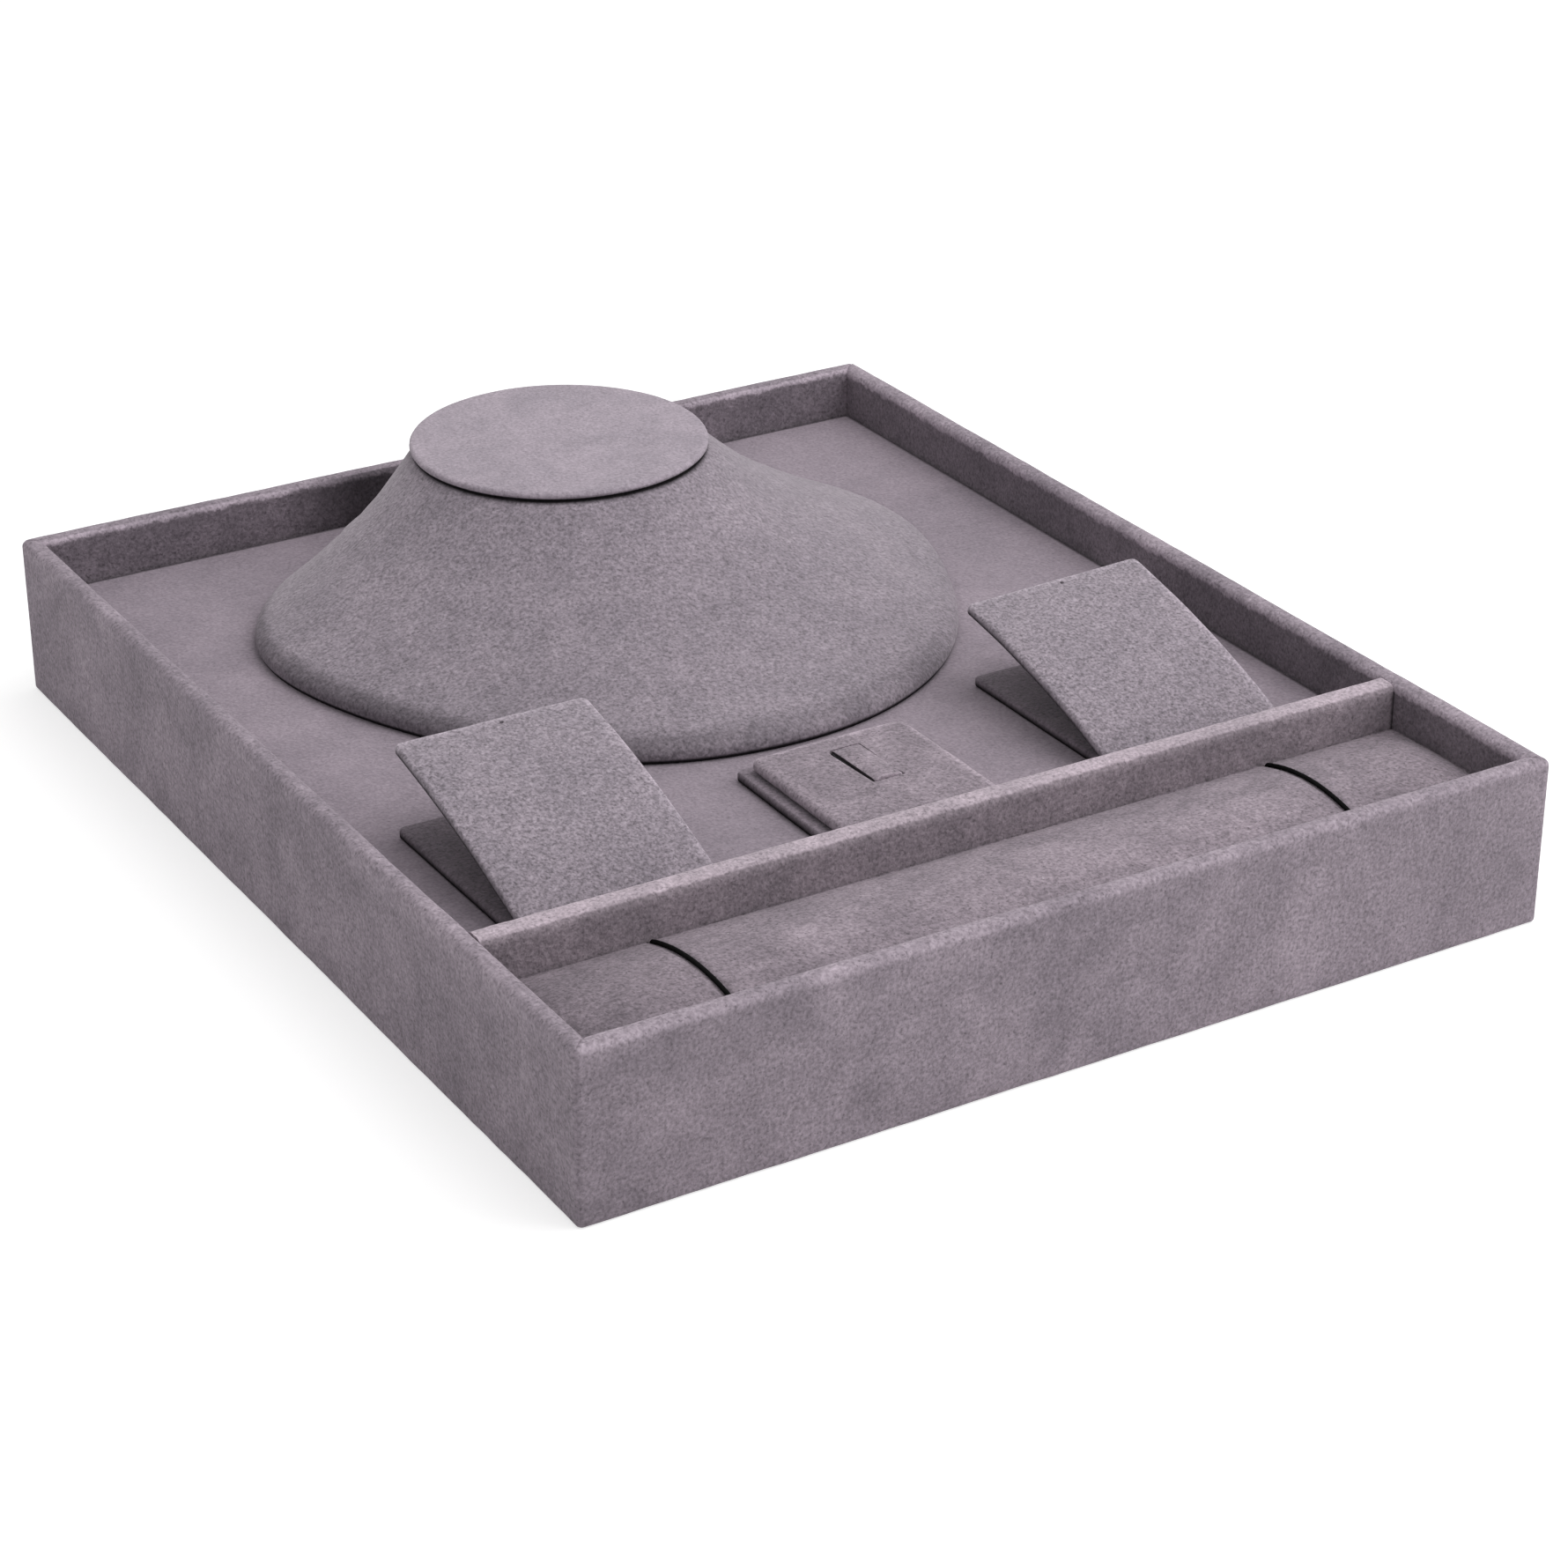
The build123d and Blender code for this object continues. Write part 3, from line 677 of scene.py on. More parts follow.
def bust_skin():
    tree = model_tree("bust_cover")
    height = bust_high[2] - bust_low[2]
    angles = [2 * pi * k / bust_rounds for k in range(bust_rounds)]
    ways = [Vector((cos(angle), sin(angle), 0)) for angle in angles]
    # more levels low down, where the form lies flatter
    rises = [height * (k / bust_levels) ** 1.35 for k in range(bust_levels + 1)]
    centres, lengths = [], []
    for rise in rises:
        centre = foot_pole.lerp(neck, min(1.0, rise / height * 2.2))
        centre.z = bust_low[2] + min(max(rise, 0.02 * mm), height - 0.02 * mm)
        hits = [tree.ray_cast(centre + way * 0.5, -way)[0] for way in ways]
        centres.append(centre)
        lengths.append([((hit or centre) - centre).length for hit in hits])
    lengths = np.array(lengths)
    for turn_number in range(smoothing_rounds):
        lengths[1:-1] = (lengths[:-2] + 2 * lengths[1:-1] + lengths[2:]) / 4
        lengths = (np.roll(lengths, 1, 1) + 2 * lengths + np.roll(lengths, -1, 1)) / 4
    for row, rise in zip(lengths, rises):
        low_down = max(0.0, 1 - rise / widening_height)
        ridge = ridge_reach * max(0.0, 1 - abs(rise - ridge_height) / ridge_spread)
        for k, angle in enumerate(angles):
            wider = (wider_in_front * max(0.0, -sin(angle))
                     + wider_on_right * max(0.0, cos(angle - front_right)) ** 2)
            row[k] += wider * low_down + ridge * max(0.0, cos(angle - front_left))
    bm = bmesh.new()
    grid = [[bm.verts.new(centre + way * reach) for way, reach in zip(ways, row)]
            for centre, row in zip(centres, lengths)]
    inner_foot = [bm.verts.new(v.co + (foot_pole - v.co).normalized() * sole_inset) for v in grid[0]]
    for vert in inner_foot:
        vert.co.z = bust_low[2]
    rings = [inner_foot] + grid
    for lower, upper in zip(rings, rings[1:]):
        for k in range(bust_rounds):
            n = (k + 1) % bust_rounds
            bm.faces.new((lower[k], lower[n], upper[n], upper[k]))
    crown = bm.verts.new((neck.x, neck.y, bust_high[2]))
    for k in range(bust_rounds):
        bm.faces.new((grid[-1][k], grid[-1][(k + 1) % bust_rounds], crown))
    sole = bm.verts.new((foot_pole.x, foot_pole.y, bust_low[2]))
    for k in range(bust_rounds):
        bm.faces.new((inner_foot[(k + 1) % bust_rounds], inner_foot[k], sole))
    bmesh.ops.recalc_face_normals(bm, faces=bm.faces[:])
    above_foot = lambda point: clamped((point.z - bust_low[2]) / (5 * mm))
    wobble(bm, height_mm=0.30, size_mm=26, seed=31, keep=above_foot)
    wobble(bm, height_mm=0.12, size_mm=8, seed=37, keep=above_foot)
    piece = finish_piece("bust_skin", bm, bust_suede, "necklace_bust", ["bust_cover"])
    foot = low_crease(bust_low[2], 2.2 * mm)

    def shade(point):
        under_cap = clamped((point.z - bust_high[2] + 1.2 * mm) / (0.5 * mm))
        # painted shade: under the cap, in the foot's crease, and below the foot's ridge, which looks away from the
        # light, most of all on the left
        way = (point - foot_pole).normalized()
        below_ridge = clamped((7.6 * mm - point.z + bust_low[2]) / (1.3 * mm))
        flank = (0.42 * max(0.0, -way.x) + 0.19 * max(0.0, -way.y)) * below_ridge
        return max(foot(point), under_cap, flank)

    mark(piece, "shade", shade)


bust_skin()

# %% [markdown]
# ## The neck cap
#
# A round board wrapped in suede closes the neck. Its rim overhangs the neck a little and casts the thin
# dark line seen below it, which painted shade on the cap's lower edge and on the bust under it deepens. It is
# a plate too, with its corners rounded until it is a circle.

# %% Neck cap skin
cap_radius = (cap_high[0] - cap_low[0]) / 2
cap_dome = 0.35 * mm
cap = plate(cap_low, cap_high, corner=cap_radius * 0.999, edge=1.15 * mm, cell=3 * mm, corner_steps=24)
for vert in cap.verts:
    away = hypot(vert.co.x - neck.x, vert.co.y - neck.y) / cap_radius
    if vert.co.z > (cap_low[2] + cap_high[2]) / 2:
        vert.co.z -= cap_dome * away ** 3
wobble(cap, height_mm=0.12, size_mm=20, seed=41)
cap_skin = finish_piece("neck_cap_skin", cap, cap_suede, "necklace_bust", ["neck_cap_cover"])
# painted shade along the cap's lower edge
cap_crease = low_crease(cap_low[2], 0.6 * mm)
mark(cap_skin, "shade", lambda point: 0.9 * cap_crease(point))

# %% [markdown]
# ## The ramp stands
#
# A stiff card is bent to a gentle curve, padded, wrapped, and glued by its front edge to a flat base. It is
# made flat, where its edges are easy to round, and then bent: each point's place along the flat plate
# becomes an angle on the curve. The small hole near the top edge, which an earring's hook or a pin goes
# through, is cut last.
#
# In the photo the two stands aren't quite alike, as cards that are bent by hand never are: each ramp's two
# rear corners stand at their own heights, and the right ramp's padding bulges a little to the left.

# %% Ramp stands
ramp_thickness = 3.2 * mm
ramp_rear_angle = radians(9.0)
ramp_nose = 0.8 * mm
ramp_corner = 2.2 * mm
ramp_lit_width, ramp_light = 1.1 * mm, 0.42
ramp_edge_shade = 0.85
pendant_hole_radius = 0.65 * mm
pendant_hole_inset = 2.6 * mm
pendant_hole_shift = 2.0 * mm
rear_sink = {"left_stand": (-0.7 * mm, -0.6 * mm), "right_stand": (0.8 * mm, -0.8 * mm)}
ramp_bulge = {"left_stand": 0.0, "right_stand": 1.4 * mm}


def plain_mesh(item):
    """The mesh of an object with its modifiers applied."""
    bpy.context.view_layer.update()
    return bpy.data.meshes.new_from_object(item.evaluated_get(bpy.context.evaluated_depsgraph_get()))


def cut(piece_bm, cutter_bm):
    """Cuts one closed mesh out of another and gives the mesh that is left."""
    items = []
    for built in (piece_bm, cutter_bm):
        mesh = bpy.data.meshes.new("to_cut")
        built.to_mesh(mesh)
        built.free()
        items.append(bpy.data.objects.new("to_cut", mesh))
        scene.collection.objects.link(items[-1])
    change = items[0].modifiers.new("cut", "BOOLEAN")
    change.operation = "DIFFERENCE"
    change.solver = "EXACT"
    change.object = items[1]
    left = plain_mesh(items[0])
    for item in items:
        bpy.data.objects.remove(item)
    return left


def bent_ramp(stand, depth_from=0.0, depth_to=ramp_thickness, inset=0.0, padding=0.45 * mm):
    """A ramp, or a layer of it between two depths below its top, drawn in by an inset on all sides."""
    base_low, base_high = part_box(f"{stand}_base_cover")
    low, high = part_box(f"{stand}_ramp_cover")
    low = (low[0] - ramp_bulge[stand], low[1], low[2])
    base_top = base_high[2]
    depth = base_high[1] - base_low[1]
    rise = high[2] - base_top - ramp_nose
    lean = rise * cos(ramp_rear_angle) - depth * sin(ramp_rear_angle)
    radius = (depth ** 2 + rise ** 2) / (2 * lean)
    axis_y = base_high[1] + radius * sin(ramp_rear_angle)
    axis_z = high[2] - radius * cos(ramp_rear_angle)
    finish = asin((axis_y - base_low[1]) / radius)
    length = radius * (finish - ramp_rear_angle)
    edge = min(0.9 * mm, (depth_to - depth_from) * 0.3)
    flat = plate((low[0] + inset, inset, -depth_to), (high[0] - inset, length - inset, -depth_from),
                 corner=ramp_corner, edge=edge, cell=1.7 * mm)
    middle_x = (low[0] + high[0]) / 2
    half = (high[0] - low[0]) / 2
    shade = flat.verts.layers.float.new("shade")
    for vert in flat.verts:
        # a painted highlight along the right and rear edges, and painted shade on the sides and underside
        away = min(high[0] - vert.co.x, vert.co.y)
        lit = -ramp_light * clamped(2.0 - away / ramp_lit_width)
        # painted shade: the lowest part looks to the front, away from the light
        dim = 0.13 * max(0.0, vert.co.y / length - 0.55) / 0.45
        vert[shade] = lit + dim if vert.co.z > -1.0 * mm else ramp_edge_shade
        # padding is fullest in the middle and thin at the edges
        if vert.co.z > -ramp_thickness / 2:
            sideways = abs(vert.co.x - middle_x) / half
            endways = abs(vert.co.y / length * 2 - 1)
            vert.co.z -= padding * max(sideways, endways) ** 5
    if padding:
        wobble(flat, height_mm=0.10, size_mm=14, seed=len(stand) + 43)
    for vert in flat.verts:
        angle = ramp_rear_angle + vert.co.y / radius
        reach = radius + vert.co.z
        vert.co = Vector((vert.co.x, axis_y - reach * sin(angle), axis_z + reach * cos(angle)))
        vert.co.z = max(vert.co.z, base_top + inset + 0.02 * mm)
        vert.co.y = max(vert.co.y, base_low[1] + inset)
        # the rear corners sink by their own amounts, or rise where that is below zero
        across = (vert.co.x - low[0]) / (high[0] - low[0])
        sink = rear_sink[stand][0] * (1 - across) + rear_sink[stand][1] * across
        vert.co.z -= sink * max(0.0, (vert.co.y - base_low[1]) / depth) ** 1.5
    bmesh.ops.recalc_face_normals(flat, faces=flat.faces[:])
    drill = bmesh.new()
    bmesh.ops.create_cone(drill, cap_ends=True, segments=20, radius1=pendant_hole_radius,
                          radius2=pendant_hole_radius, depth=20 * mm)
    hole = (middle_x + pendant_hole_shift, base_high[1] - pendant_hole_inset, high[2])
    bmesh.ops.translate(drill, verts=drill.verts, vec=hole)
    return cut(flat, drill)


def base_skin(name, node, body, seed, top_light):
    """The wrapped board under a stand or under the ring holder."""
    low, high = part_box(node)
    base = plate(low, high, corner=1.8 * mm, edge=0.95 * mm, cell=4 * mm)
    wobble(base, height_mm=0.08, size_mm=16, seed=seed)
    piece = finish_piece(name, base, shaded_base_suede, body, [node])
    crease = low_crease(low[2], 2.4 * mm)
    # painted light on the top and along the right and rear, where light from there reaches into the crease,
    # and painted shade in the crease on the left and in front
    lit = lambda point: point.x > high[0] - 1.5 * mm or point.y > high[1] - 1.5 * mm
    top = high[2] - 0.25 * mm
    mark(piece, "shade", lambda point: -top_light if lit(point) or point.z > top else crease(point))


for stand in ("left_stand", "right_stand"):
    base_skin(f"{stand}_base_skin", f"{stand}_base_cover", stand, seed=47, top_light=0.1)
    ramp = finish_piece(f"{stand}_ramp_skin", bent_ramp(stand), ramp_suede, stand,
                        [f"{stand}_ramp_cover"])
    card = bent_ramp(stand, depth_from=1.1 * mm, depth_to=ramp_thickness - 0.5 * mm, inset=0.5 * mm,
                     padding=0.0)
    finish_piece(f"{stand}_ramp_card", card, fibreboard, stand, [f"{stand}_ramp_board"])

# %% [markdown]
# ## The ring holder
#
# A pad of firm foam under suede sits on a wrapped base. A slit runs round a narrow tongue, sewn only at its
# back end, so a ring slides under the tongue and stands up. The pad crowns towards its middle and its sides
# tuck in where they meet the base. Handled foam keeps no straight edge: it bulges on the left and at the
# back, and the slit gapes on the left and is closed on the right, where the tongue presses into the foam.

# %% Ring holder
pad_bulge_left, pad_bulge_back = 1.5 * mm, 1.8 * mm
pad_low, pad_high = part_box("ring_pad")
pad_low = (pad_low[0] - pad_bulge_left, pad_low[1], pad_low[2])
pad_high = (pad_high[0], pad_high[1] + pad_bulge_back, pad_high[2])
pad_tuck = 0.7 * mm
pad_crown_across, pad_crown_along = 0.40 * mm, 0.15 * mm
tongue_shift = 0.6 * mm
tongue_low, tongue_high = [Vector(corner) + Vector((tongue_shift, 0, 0))
                           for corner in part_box("ring_tongue_cover")]
slit = 0.35 * mm
front_slit, rear_overlap = 0.08 * mm, 0.4 * mm


def tongue_pocket():
    """The pocket's block, taller than the pad. The slit gapes on the left towards the back, and opens at the
    right front corner."""
    low = (tongue_low[0] - slit, tongue_low[1] - front_slit, pad_low[2] - 1 * mm)
    high = (tongue_high[0] + slit, tongue_high[1] - rear_overlap, pad_high[2] + 5 * mm)
    pocket = plate(low, high, corner=0.5 * mm, edge=0.2 * mm, cell=1.5 * mm, corner_steps=2, edge_steps=1)
    middle_x, half = (low[0] + high[0]) / 2, (high[0] - low[0]) / 2
    for vert in pocket.verts:
        # 0 at the tongue's back end and 1 at its tip
        share = clamped((tongue_high[1] - vert.co.y) / (tongue_high[1] - tongue_low[1]))
        left_gape = (0.3 + 1.5 * min(1.0, share / 0.10) * (1 - share) ** 0.9) * mm
        right_gape = (-0.35 + 0.95 * max(0.0, share - 0.80) / 0.20) * mm
        wanted = left_gape if vert.co.x < middle_x else right_gape
        vert.co.x = middle_x + (vert.co.x - middle_x) / half * (half - slit + wanted)
    return pocket


def ring_pad_mesh():
    bm = plate(pad_low, pad_high, corner=3.2 * mm, edge=1.7 * mm, cell=1.4 * mm, edge_steps=6)
    middle = (Vector(pad_low) + Vector(pad_high)) / 2
    half = (Vector(pad_high) - Vector(pad_low)) / 2
    for vert in bm.verts:
        across = abs(vert.co.x - middle.x) / half.x
        along = abs(vert.co.y - middle.y) / half.y
        rise = (vert.co.z - pad_low[2]) / (2 * half.z)
        if rise > 0.5:
            vert.co.z -= pad_crown_across * across ** 2.5 + pad_crown_along * along ** 3
        tuck = pad_tuck * max(0.0, 1 - rise * 2.2) ** 2
        vert.co.x -= tuck * (vert.co.x - middle.x) / half.x
        vert.co.y -= tuck * (vert.co.y - middle.y) / half.y
    wobble(bm, height_mm=0.14, size_mm=12, seed=53)
    return cut(bm, tongue_pocket())


base_skin("ring_base_skin", "ring_base_cover", "ring_holder", seed=59, top_light=0.4)
ring_pad = finish_piece("ring_pad_skin", ring_pad_mesh(), pad_suede, "ring_holder",
                        ["ring_pad"])

ring_pad_light = lit_edge(pad_low, pad_high, width=1.6 * mm, light=0.42)
ring_pad_crease = low_crease(pad_low[2], 1.8 * mm)
slit_shade = 0.97


def ring_pad_shade(point):
    """Painted shade in the pocket, but not where its right wall meets the tongue, and in the low crease. A
    painted highlight along the right and rear edges."""
    inside = tongue_low[0] - 2 * mm < point.x < tongue_high[0] + 2 * mm
    inside = inside and tongue_low[1] - 1 * mm < point.y < tongue_high[1] + 0.5 * mm
    if inside and point.z < pad_high[2] - 1.2 * mm:
        on_right = point.x > (tongue_low[0] + tongue_high[0]) / 2 and point.y > tongue_low[1] + 4.5 * mm
        return 0.0 if on_right else slit_shade
    light = ring_pad_light(point)
    return light if light < -0.1 else ring_pad_crease(point)


mark(ring_pad, "shade", ring_pad_shade)

# %% [markdown]
# The tongue is a card wrapped in the same suede, crowned across and held flat at its hinge. Its place is
# read from the joint, so that it turns about its own rear edge. It sags by a degree, and shade is painted on
# its left edge, where it looks into the gaping slit, with a painted highlight at its tip.

# %% Ring tongue
tongue_joint = next(j for j in frame["joints"] if j["name"] == "ring_tongue_flex")
tongue_sag = radians(-1.0)
tongue_crown = 0.9 * mm
tongue_length = 23.0 * mm
tongue_thickness = 1.9 * mm
tongue_edge = 0.45 * mm


def tongue_mesh():
    hinge = Vector(tongue_joint["pos_m"])
    low = (tongue_low[0], hinge.y - tongue_length, hinge.z - tongue_thickness)
    high = (tongue_high[0], hinge.y, hinge.z)
    bm = plate(low, high, corner=1.0 * mm, edge=tongue_edge, cell=0.8 * mm)
    middle_x, half = (low[0] + high[0]) / 2, (high[0] - low[0]) / 2
    for vert in bm.verts:
        if vert.co.z > hinge.z - tongue_thickness / 2:
            across = (vert.co.x - middle_x) / half
            from_hinge = min(1.0, (hinge.y - vert.co.y) / (6 * mm))
            vert.co.z += tongue_crown * (1 - across ** 2) * from_hinge
            # its rear edge isn't rounded down: there the cloth runs on into the pad
            if vert.co.y > hinge.y - tongue_edge - 0.01 * mm:
                vert.co.z = hinge.z
    wobble(bm, height_mm=0.08, size_mm=6, seed=61)
    sag = Matrix.Translation(hinge) @ Matrix.Rotation(tongue_sag, 4, "X") @ Matrix.Translation(-hinge)
    bmesh.ops.transform(bm, matrix=sag, verts=bm.verts)
    return bm


tongue = finish_piece("ring_tongue_skin", tongue_mesh(), pad_suede, "ring_tongue",
                      ["ring_tongue_cover"])


def tongue_shade(point):
    """Painted shade along the left edge, and a painted highlight at the tip."""
    if point.x < tongue_low[0] + 0.3 * mm:
        return slit_shade
    return -0.25 if point.y < tongue_low[1] + 1.4 * mm else 0.0


mark(tongue, "shade", tongue_shade)

# %% [markdown]
# ## The bracelet pad
#
# A long foam cushion, crowned across and drawn down at its ends, wrapped in suede over a thin board. The
# elastic cords press a shallow furrow into it. The plate is lifted to the crown point by point, which keeps
# its cells even, and the furrow is the same rule read near each cord.

# %% Bracelet cushion
cushion_low, cushion_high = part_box("bracelet_cushion")
cord_boxes = {side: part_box(f"bracelet_cord_{side}") for side in ("left", "right")}
cord_places = {side: (low[0] + high[0]) / 2 for side, (low, high) in cord_boxes.items()}
# stretched by hand, the right cord lies a little askew: its place at the back and at the front, off the
# model's
cord_skew = {"left": (0.0, 0.0), "right": (-0.6 * mm, -4.0 * mm)}
cord_radius = 0.65 * mm
cushion_edge = 2.4 * mm
cushion_crown = 4.6 * mm
crown_rise = 0.6 * mm
end_rounding = 18.0 * mm
furrow_depth, furrow_half_width = 0.45 * mm, 1.5 * mm
swell_height, swell_place, swell_half_width = 0.10 * mm, 3.4 * mm, 2.0 * mm
furrow_cuts_mm = (-2.6, -1.7, -1.3, -0.9, -0.45, 0, 0.45, 0.9, 1.3, 1.7, 2.6)


def cord_x(side, y):
    """Where a cord runs at one depth of the tray."""
    back, front = cord_skew[side]
    share = (cushion_high[1] - y) / (cushion_high[1] - cushion_low[1])
    return cord_places[side] + back + (front - back) * share


def crown_height(x, y):
    """How high the cushion's top stands over its edge."""
    half_length = (cushion_high[0] - cushion_low[0]) / 2
    half_breadth = (cushion_high[1] - cushion_low[1]) / 2
    middle_y = (cushion_high[1] + cushion_low[1]) / 2
    from_end = half_length - abs(x - (cushion_high[0] + cushion_low[0]) / 2)
    rounding = 1 - (1 - clamped(from_end / end_rounding)) ** 2.6
    across = min(1.0, abs(y - middle_y) / half_breadth)
    crown = cushion_crown * (0.10 + 0.90 * rounding) * (1 - across ** 2)
    for side in cord_places:
        away = x - cord_x(side, y)
        crown -= furrow_depth * max(0.0, 1 - (away / furrow_half_width) ** 2) ** 0.5
        # beside the furrow the foam swells a little
        swell = (abs(away) - swell_place) / swell_half_width
        crown += swell_height * max(0.0, 1 - swell * swell)
    return crown


def cushion_mesh():
    top = floor_top + cushion_edge
    bm = plate(cushion_low, (cushion_high[0], cushion_high[1], top), corner=1.6 * mm, edge=0.5 * mm,
               cell=2.0 * mm, edge_steps=3)
    depth = cushion_high[1] - cushion_low[1]
    for side in cord_places:
        across_cord = Vector((depth, cord_x(side, cushion_low[1]) - cord_x(side, cushion_high[1]),
                              0)).normalized()
        for step in furrow_cuts_mm:
            slice_through(bm, (cord_x(side, cushion_low[1]) + step * mm, cushion_low[1], 0), across_cord)
    thickness = top - cushion_low[2]
    for vert in bm.verts:
        share = (vert.co.z - cushion_low[2]) / thickness
        vert.co.z += crown_height(vert.co.x, vert.co.y) * share
    on_top = lambda point: 1.0 if point.z > top else 0.0
    wobble(bm, height_mm=0.16, size_mm=18, seed=67, keep=on_top)
    wobble(bm, height_mm=0.08, size_mm=5, seed=71, keep=on_top)
    return bm


cushion = finish_piece("bracelet_cushion_skin", cushion_mesh(), pad_suede, "bracelet_pad",
                       ["bracelet_cushion"])


def cushion_shade(point):
    """Painted shade, darker towards the ends."""
    left_end = max(0.0, 1 - (point.x - cushion_low[0]) / (75 * mm))
    right_end = max(0.0, 1 - (cushion_high[0] - point.x) / (60 * mm))
    return 0.28 * left_end ** 0.7 + 0.17 * right_end ** 0.7


mark(cushion, "shade", cushion_shade)

# %% [markdown]
# ## The elastic cords, by Geometry Nodes
#
# Round elastic is a rubber core in a braided polyester jacket. To the eye it is nearly black and dull, with
# a fine relief where strands cross. Two families of strands wind round it, one each way. A tree sweeps a
# circle along the closed route and lifts the surface where a strand passes on top, so the braid follows any
# route that is fed to it. The route is that of the model: along the board's underside, up its sides and
# over the crown.

# %% Elastic cord material
cord_material, tree = new_material("braided_polyester_elastic")
strand = add(tree, "ShaderNodeAttribute", attribute_name="strand").outputs["Fac"]
jacket_colours = {0: strand, mix_first: tint("#030303"), mix_second: tint("#0a0a0a")}
jacket_colour = add(tree, "ShaderNodeMix", jacket_colours, data_type="RGBA").outputs[mix_result]
jacket = add(tree, "ShaderNodeBsdfPrincipled", {"Base Color": jacket_colour, "Roughness": 0.8,
                                                "Specular IOR Level": 0.08})
add(tree, "ShaderNodeOutputMaterial", {"Surface": jacket})
print("the cord is", round(cord_radius * 2000, 2), "mm thick")


# %% Braided cord tree
def new_tree(name, gives, takes):
    """A Geometry Nodes tree that takes a geometry and the named inputs. Gives the tree, its input node and
    the identifiers by which a modifier sets the inputs."""
    tree = bpy.data.node_groups.new(name, "GeometryNodeTree")
    sockets = [tree.interface.new_socket(title, in_out="INPUT", socket_type=f"NodeSocket{kind}")
               for title, kind in takes]
    tree.interface.new_socket(gives, in_out="OUTPUT", socket_type="NodeSocketGeometry")
    return tree, add(tree, "NodeGroupInput").outputs, [socket.identifier for socket in sockets[1:]]


def finish_tree(tree, geometry, material, gives):
    """Ends a tree: makes instances real and gives them their material."""
    real = add(tree, "GeometryNodeRealizeInstances", {"Geometry": geometry})
    dressed = add(tree, "GeometryNodeSetMaterial", {"Geometry": real, "Material": material})
    add(tree, "NodeGroupOutput", {gives: dressed})


def kept_on_points(tree, geometry, name, value):
    """Stores a value on a curve's points, so that it can be read after the curve has become a tube."""
    kept = add(tree, "GeometryNodeCaptureAttribute", {"Geometry": geometry}, domain="POINT")
    kept.capture_items.new("FLOAT", name)
    tree.links.new(value, kept.inputs[1])
    return kept.outputs


strands_each_way = 4
strand_depth = 0.10
route_step = 0.22 * mm


def braid_tree():
    takes = [("Route", "Geometry"), ("Cord radius", "Float"), ("Braid pitch", "Float"),
             ("Jacket", "Material")]
    tree, given, identifiers = new_tree("braided_cord", "Cord", takes)
    fine = add(tree, "GeometryNodeResampleCurve", {"Curve": given["Route"], "Length": route_step},
               mode="LENGTH")
    along = add(tree, "GeometryNodeSplineParameter").outputs["Length"]
    route = kept_on_points(tree, fine, "run", along)
    circle = add(tree, "GeometryNodeCurvePrimitiveCircle", {"Resolution": 16, "Radius": given["Cord radius"]})
    round_it = add(tree, "GeometryNodeSplineParameter").outputs["Factor"]
    profile = kept_on_points(tree, circle, "turn", round_it)
    tube = add(tree, "GeometryNodeCurveToMesh", {"Curve": route[0], "Profile Curve": profile[0]})
    turns = add(tree, "ShaderNodeMath", [profile[1], strands_each_way * 2 * pi], operation="MULTIPLY")
    winds = add(tree, "ShaderNodeMath", [route[1], given["Braid pitch"]], operation="DIVIDE")
    winds = add(tree, "ShaderNodeMath", [winds, 2 * pi], operation="MULTIPLY")
    families = []
    for way in ("ADD", "SUBTRACT"):
        phase = add(tree, "ShaderNodeMath", [turns, winds], operation=way)
        families.append(add(tree, "ShaderNodeMath", [phase], operation="SINE"))
    # the family that is on top gives the height, from 0 in a gap to 1 on a strand
    height = add(tree, "ShaderNodeMath", families, operation="MAXIMUM")
    height = add(tree, "ShaderNodeMath", [height, 0.5, 0.5], operation="MULTIPLY_ADD", use_clamp=True)
    sunk = add(tree, "ShaderNodeMath", [height, 1.0], operation="SUBTRACT")
    deepest = add(tree, "ShaderNodeMath", [given["Cord radius"], strand_depth], operation="MULTIPLY")
    push = add(tree, "ShaderNodeMath", [deepest, sunk], operation="MULTIPLY")
    outward = add(tree, "GeometryNodeInputNormal")
    offset = add(tree, "ShaderNodeVectorMath", {0: outward, "Scale": push}, operation="SCALE")
    raised = add(tree, "GeometryNodeSetPosition", {"Geometry": tube, "Offset": offset})
    stored = add(tree, "GeometryNodeStoreNamedAttribute",
                 {"Geometry": raised, "Name": "strand", "Value": height}, data_type="FLOAT", domain="POINT")
    finish_tree(tree, stored, given["Jacket"], "Cord")
    return tree, identifiers


def made_by_nodes(source, tree, identifiers, values):
    """Runs a tree on an object with the given inputs, and gives the plain mesh; the object is removed."""
    change = source.modifiers.new("nodes", "NODES")
    change.node_group = tree
    for identifier, value in zip(identifiers, values):
        change[identifier] = value
    mesh = plain_mesh(source)
    bpy.data.objects.remove(source)
    return mesh


braid, braid_inputs = braid_tree()
print("the braid's tree has", len(braid.nodes), "nodes")

# %% Elastic cords
braid_pitch = 3.2 * mm
cord_bend = 1.0 * mm


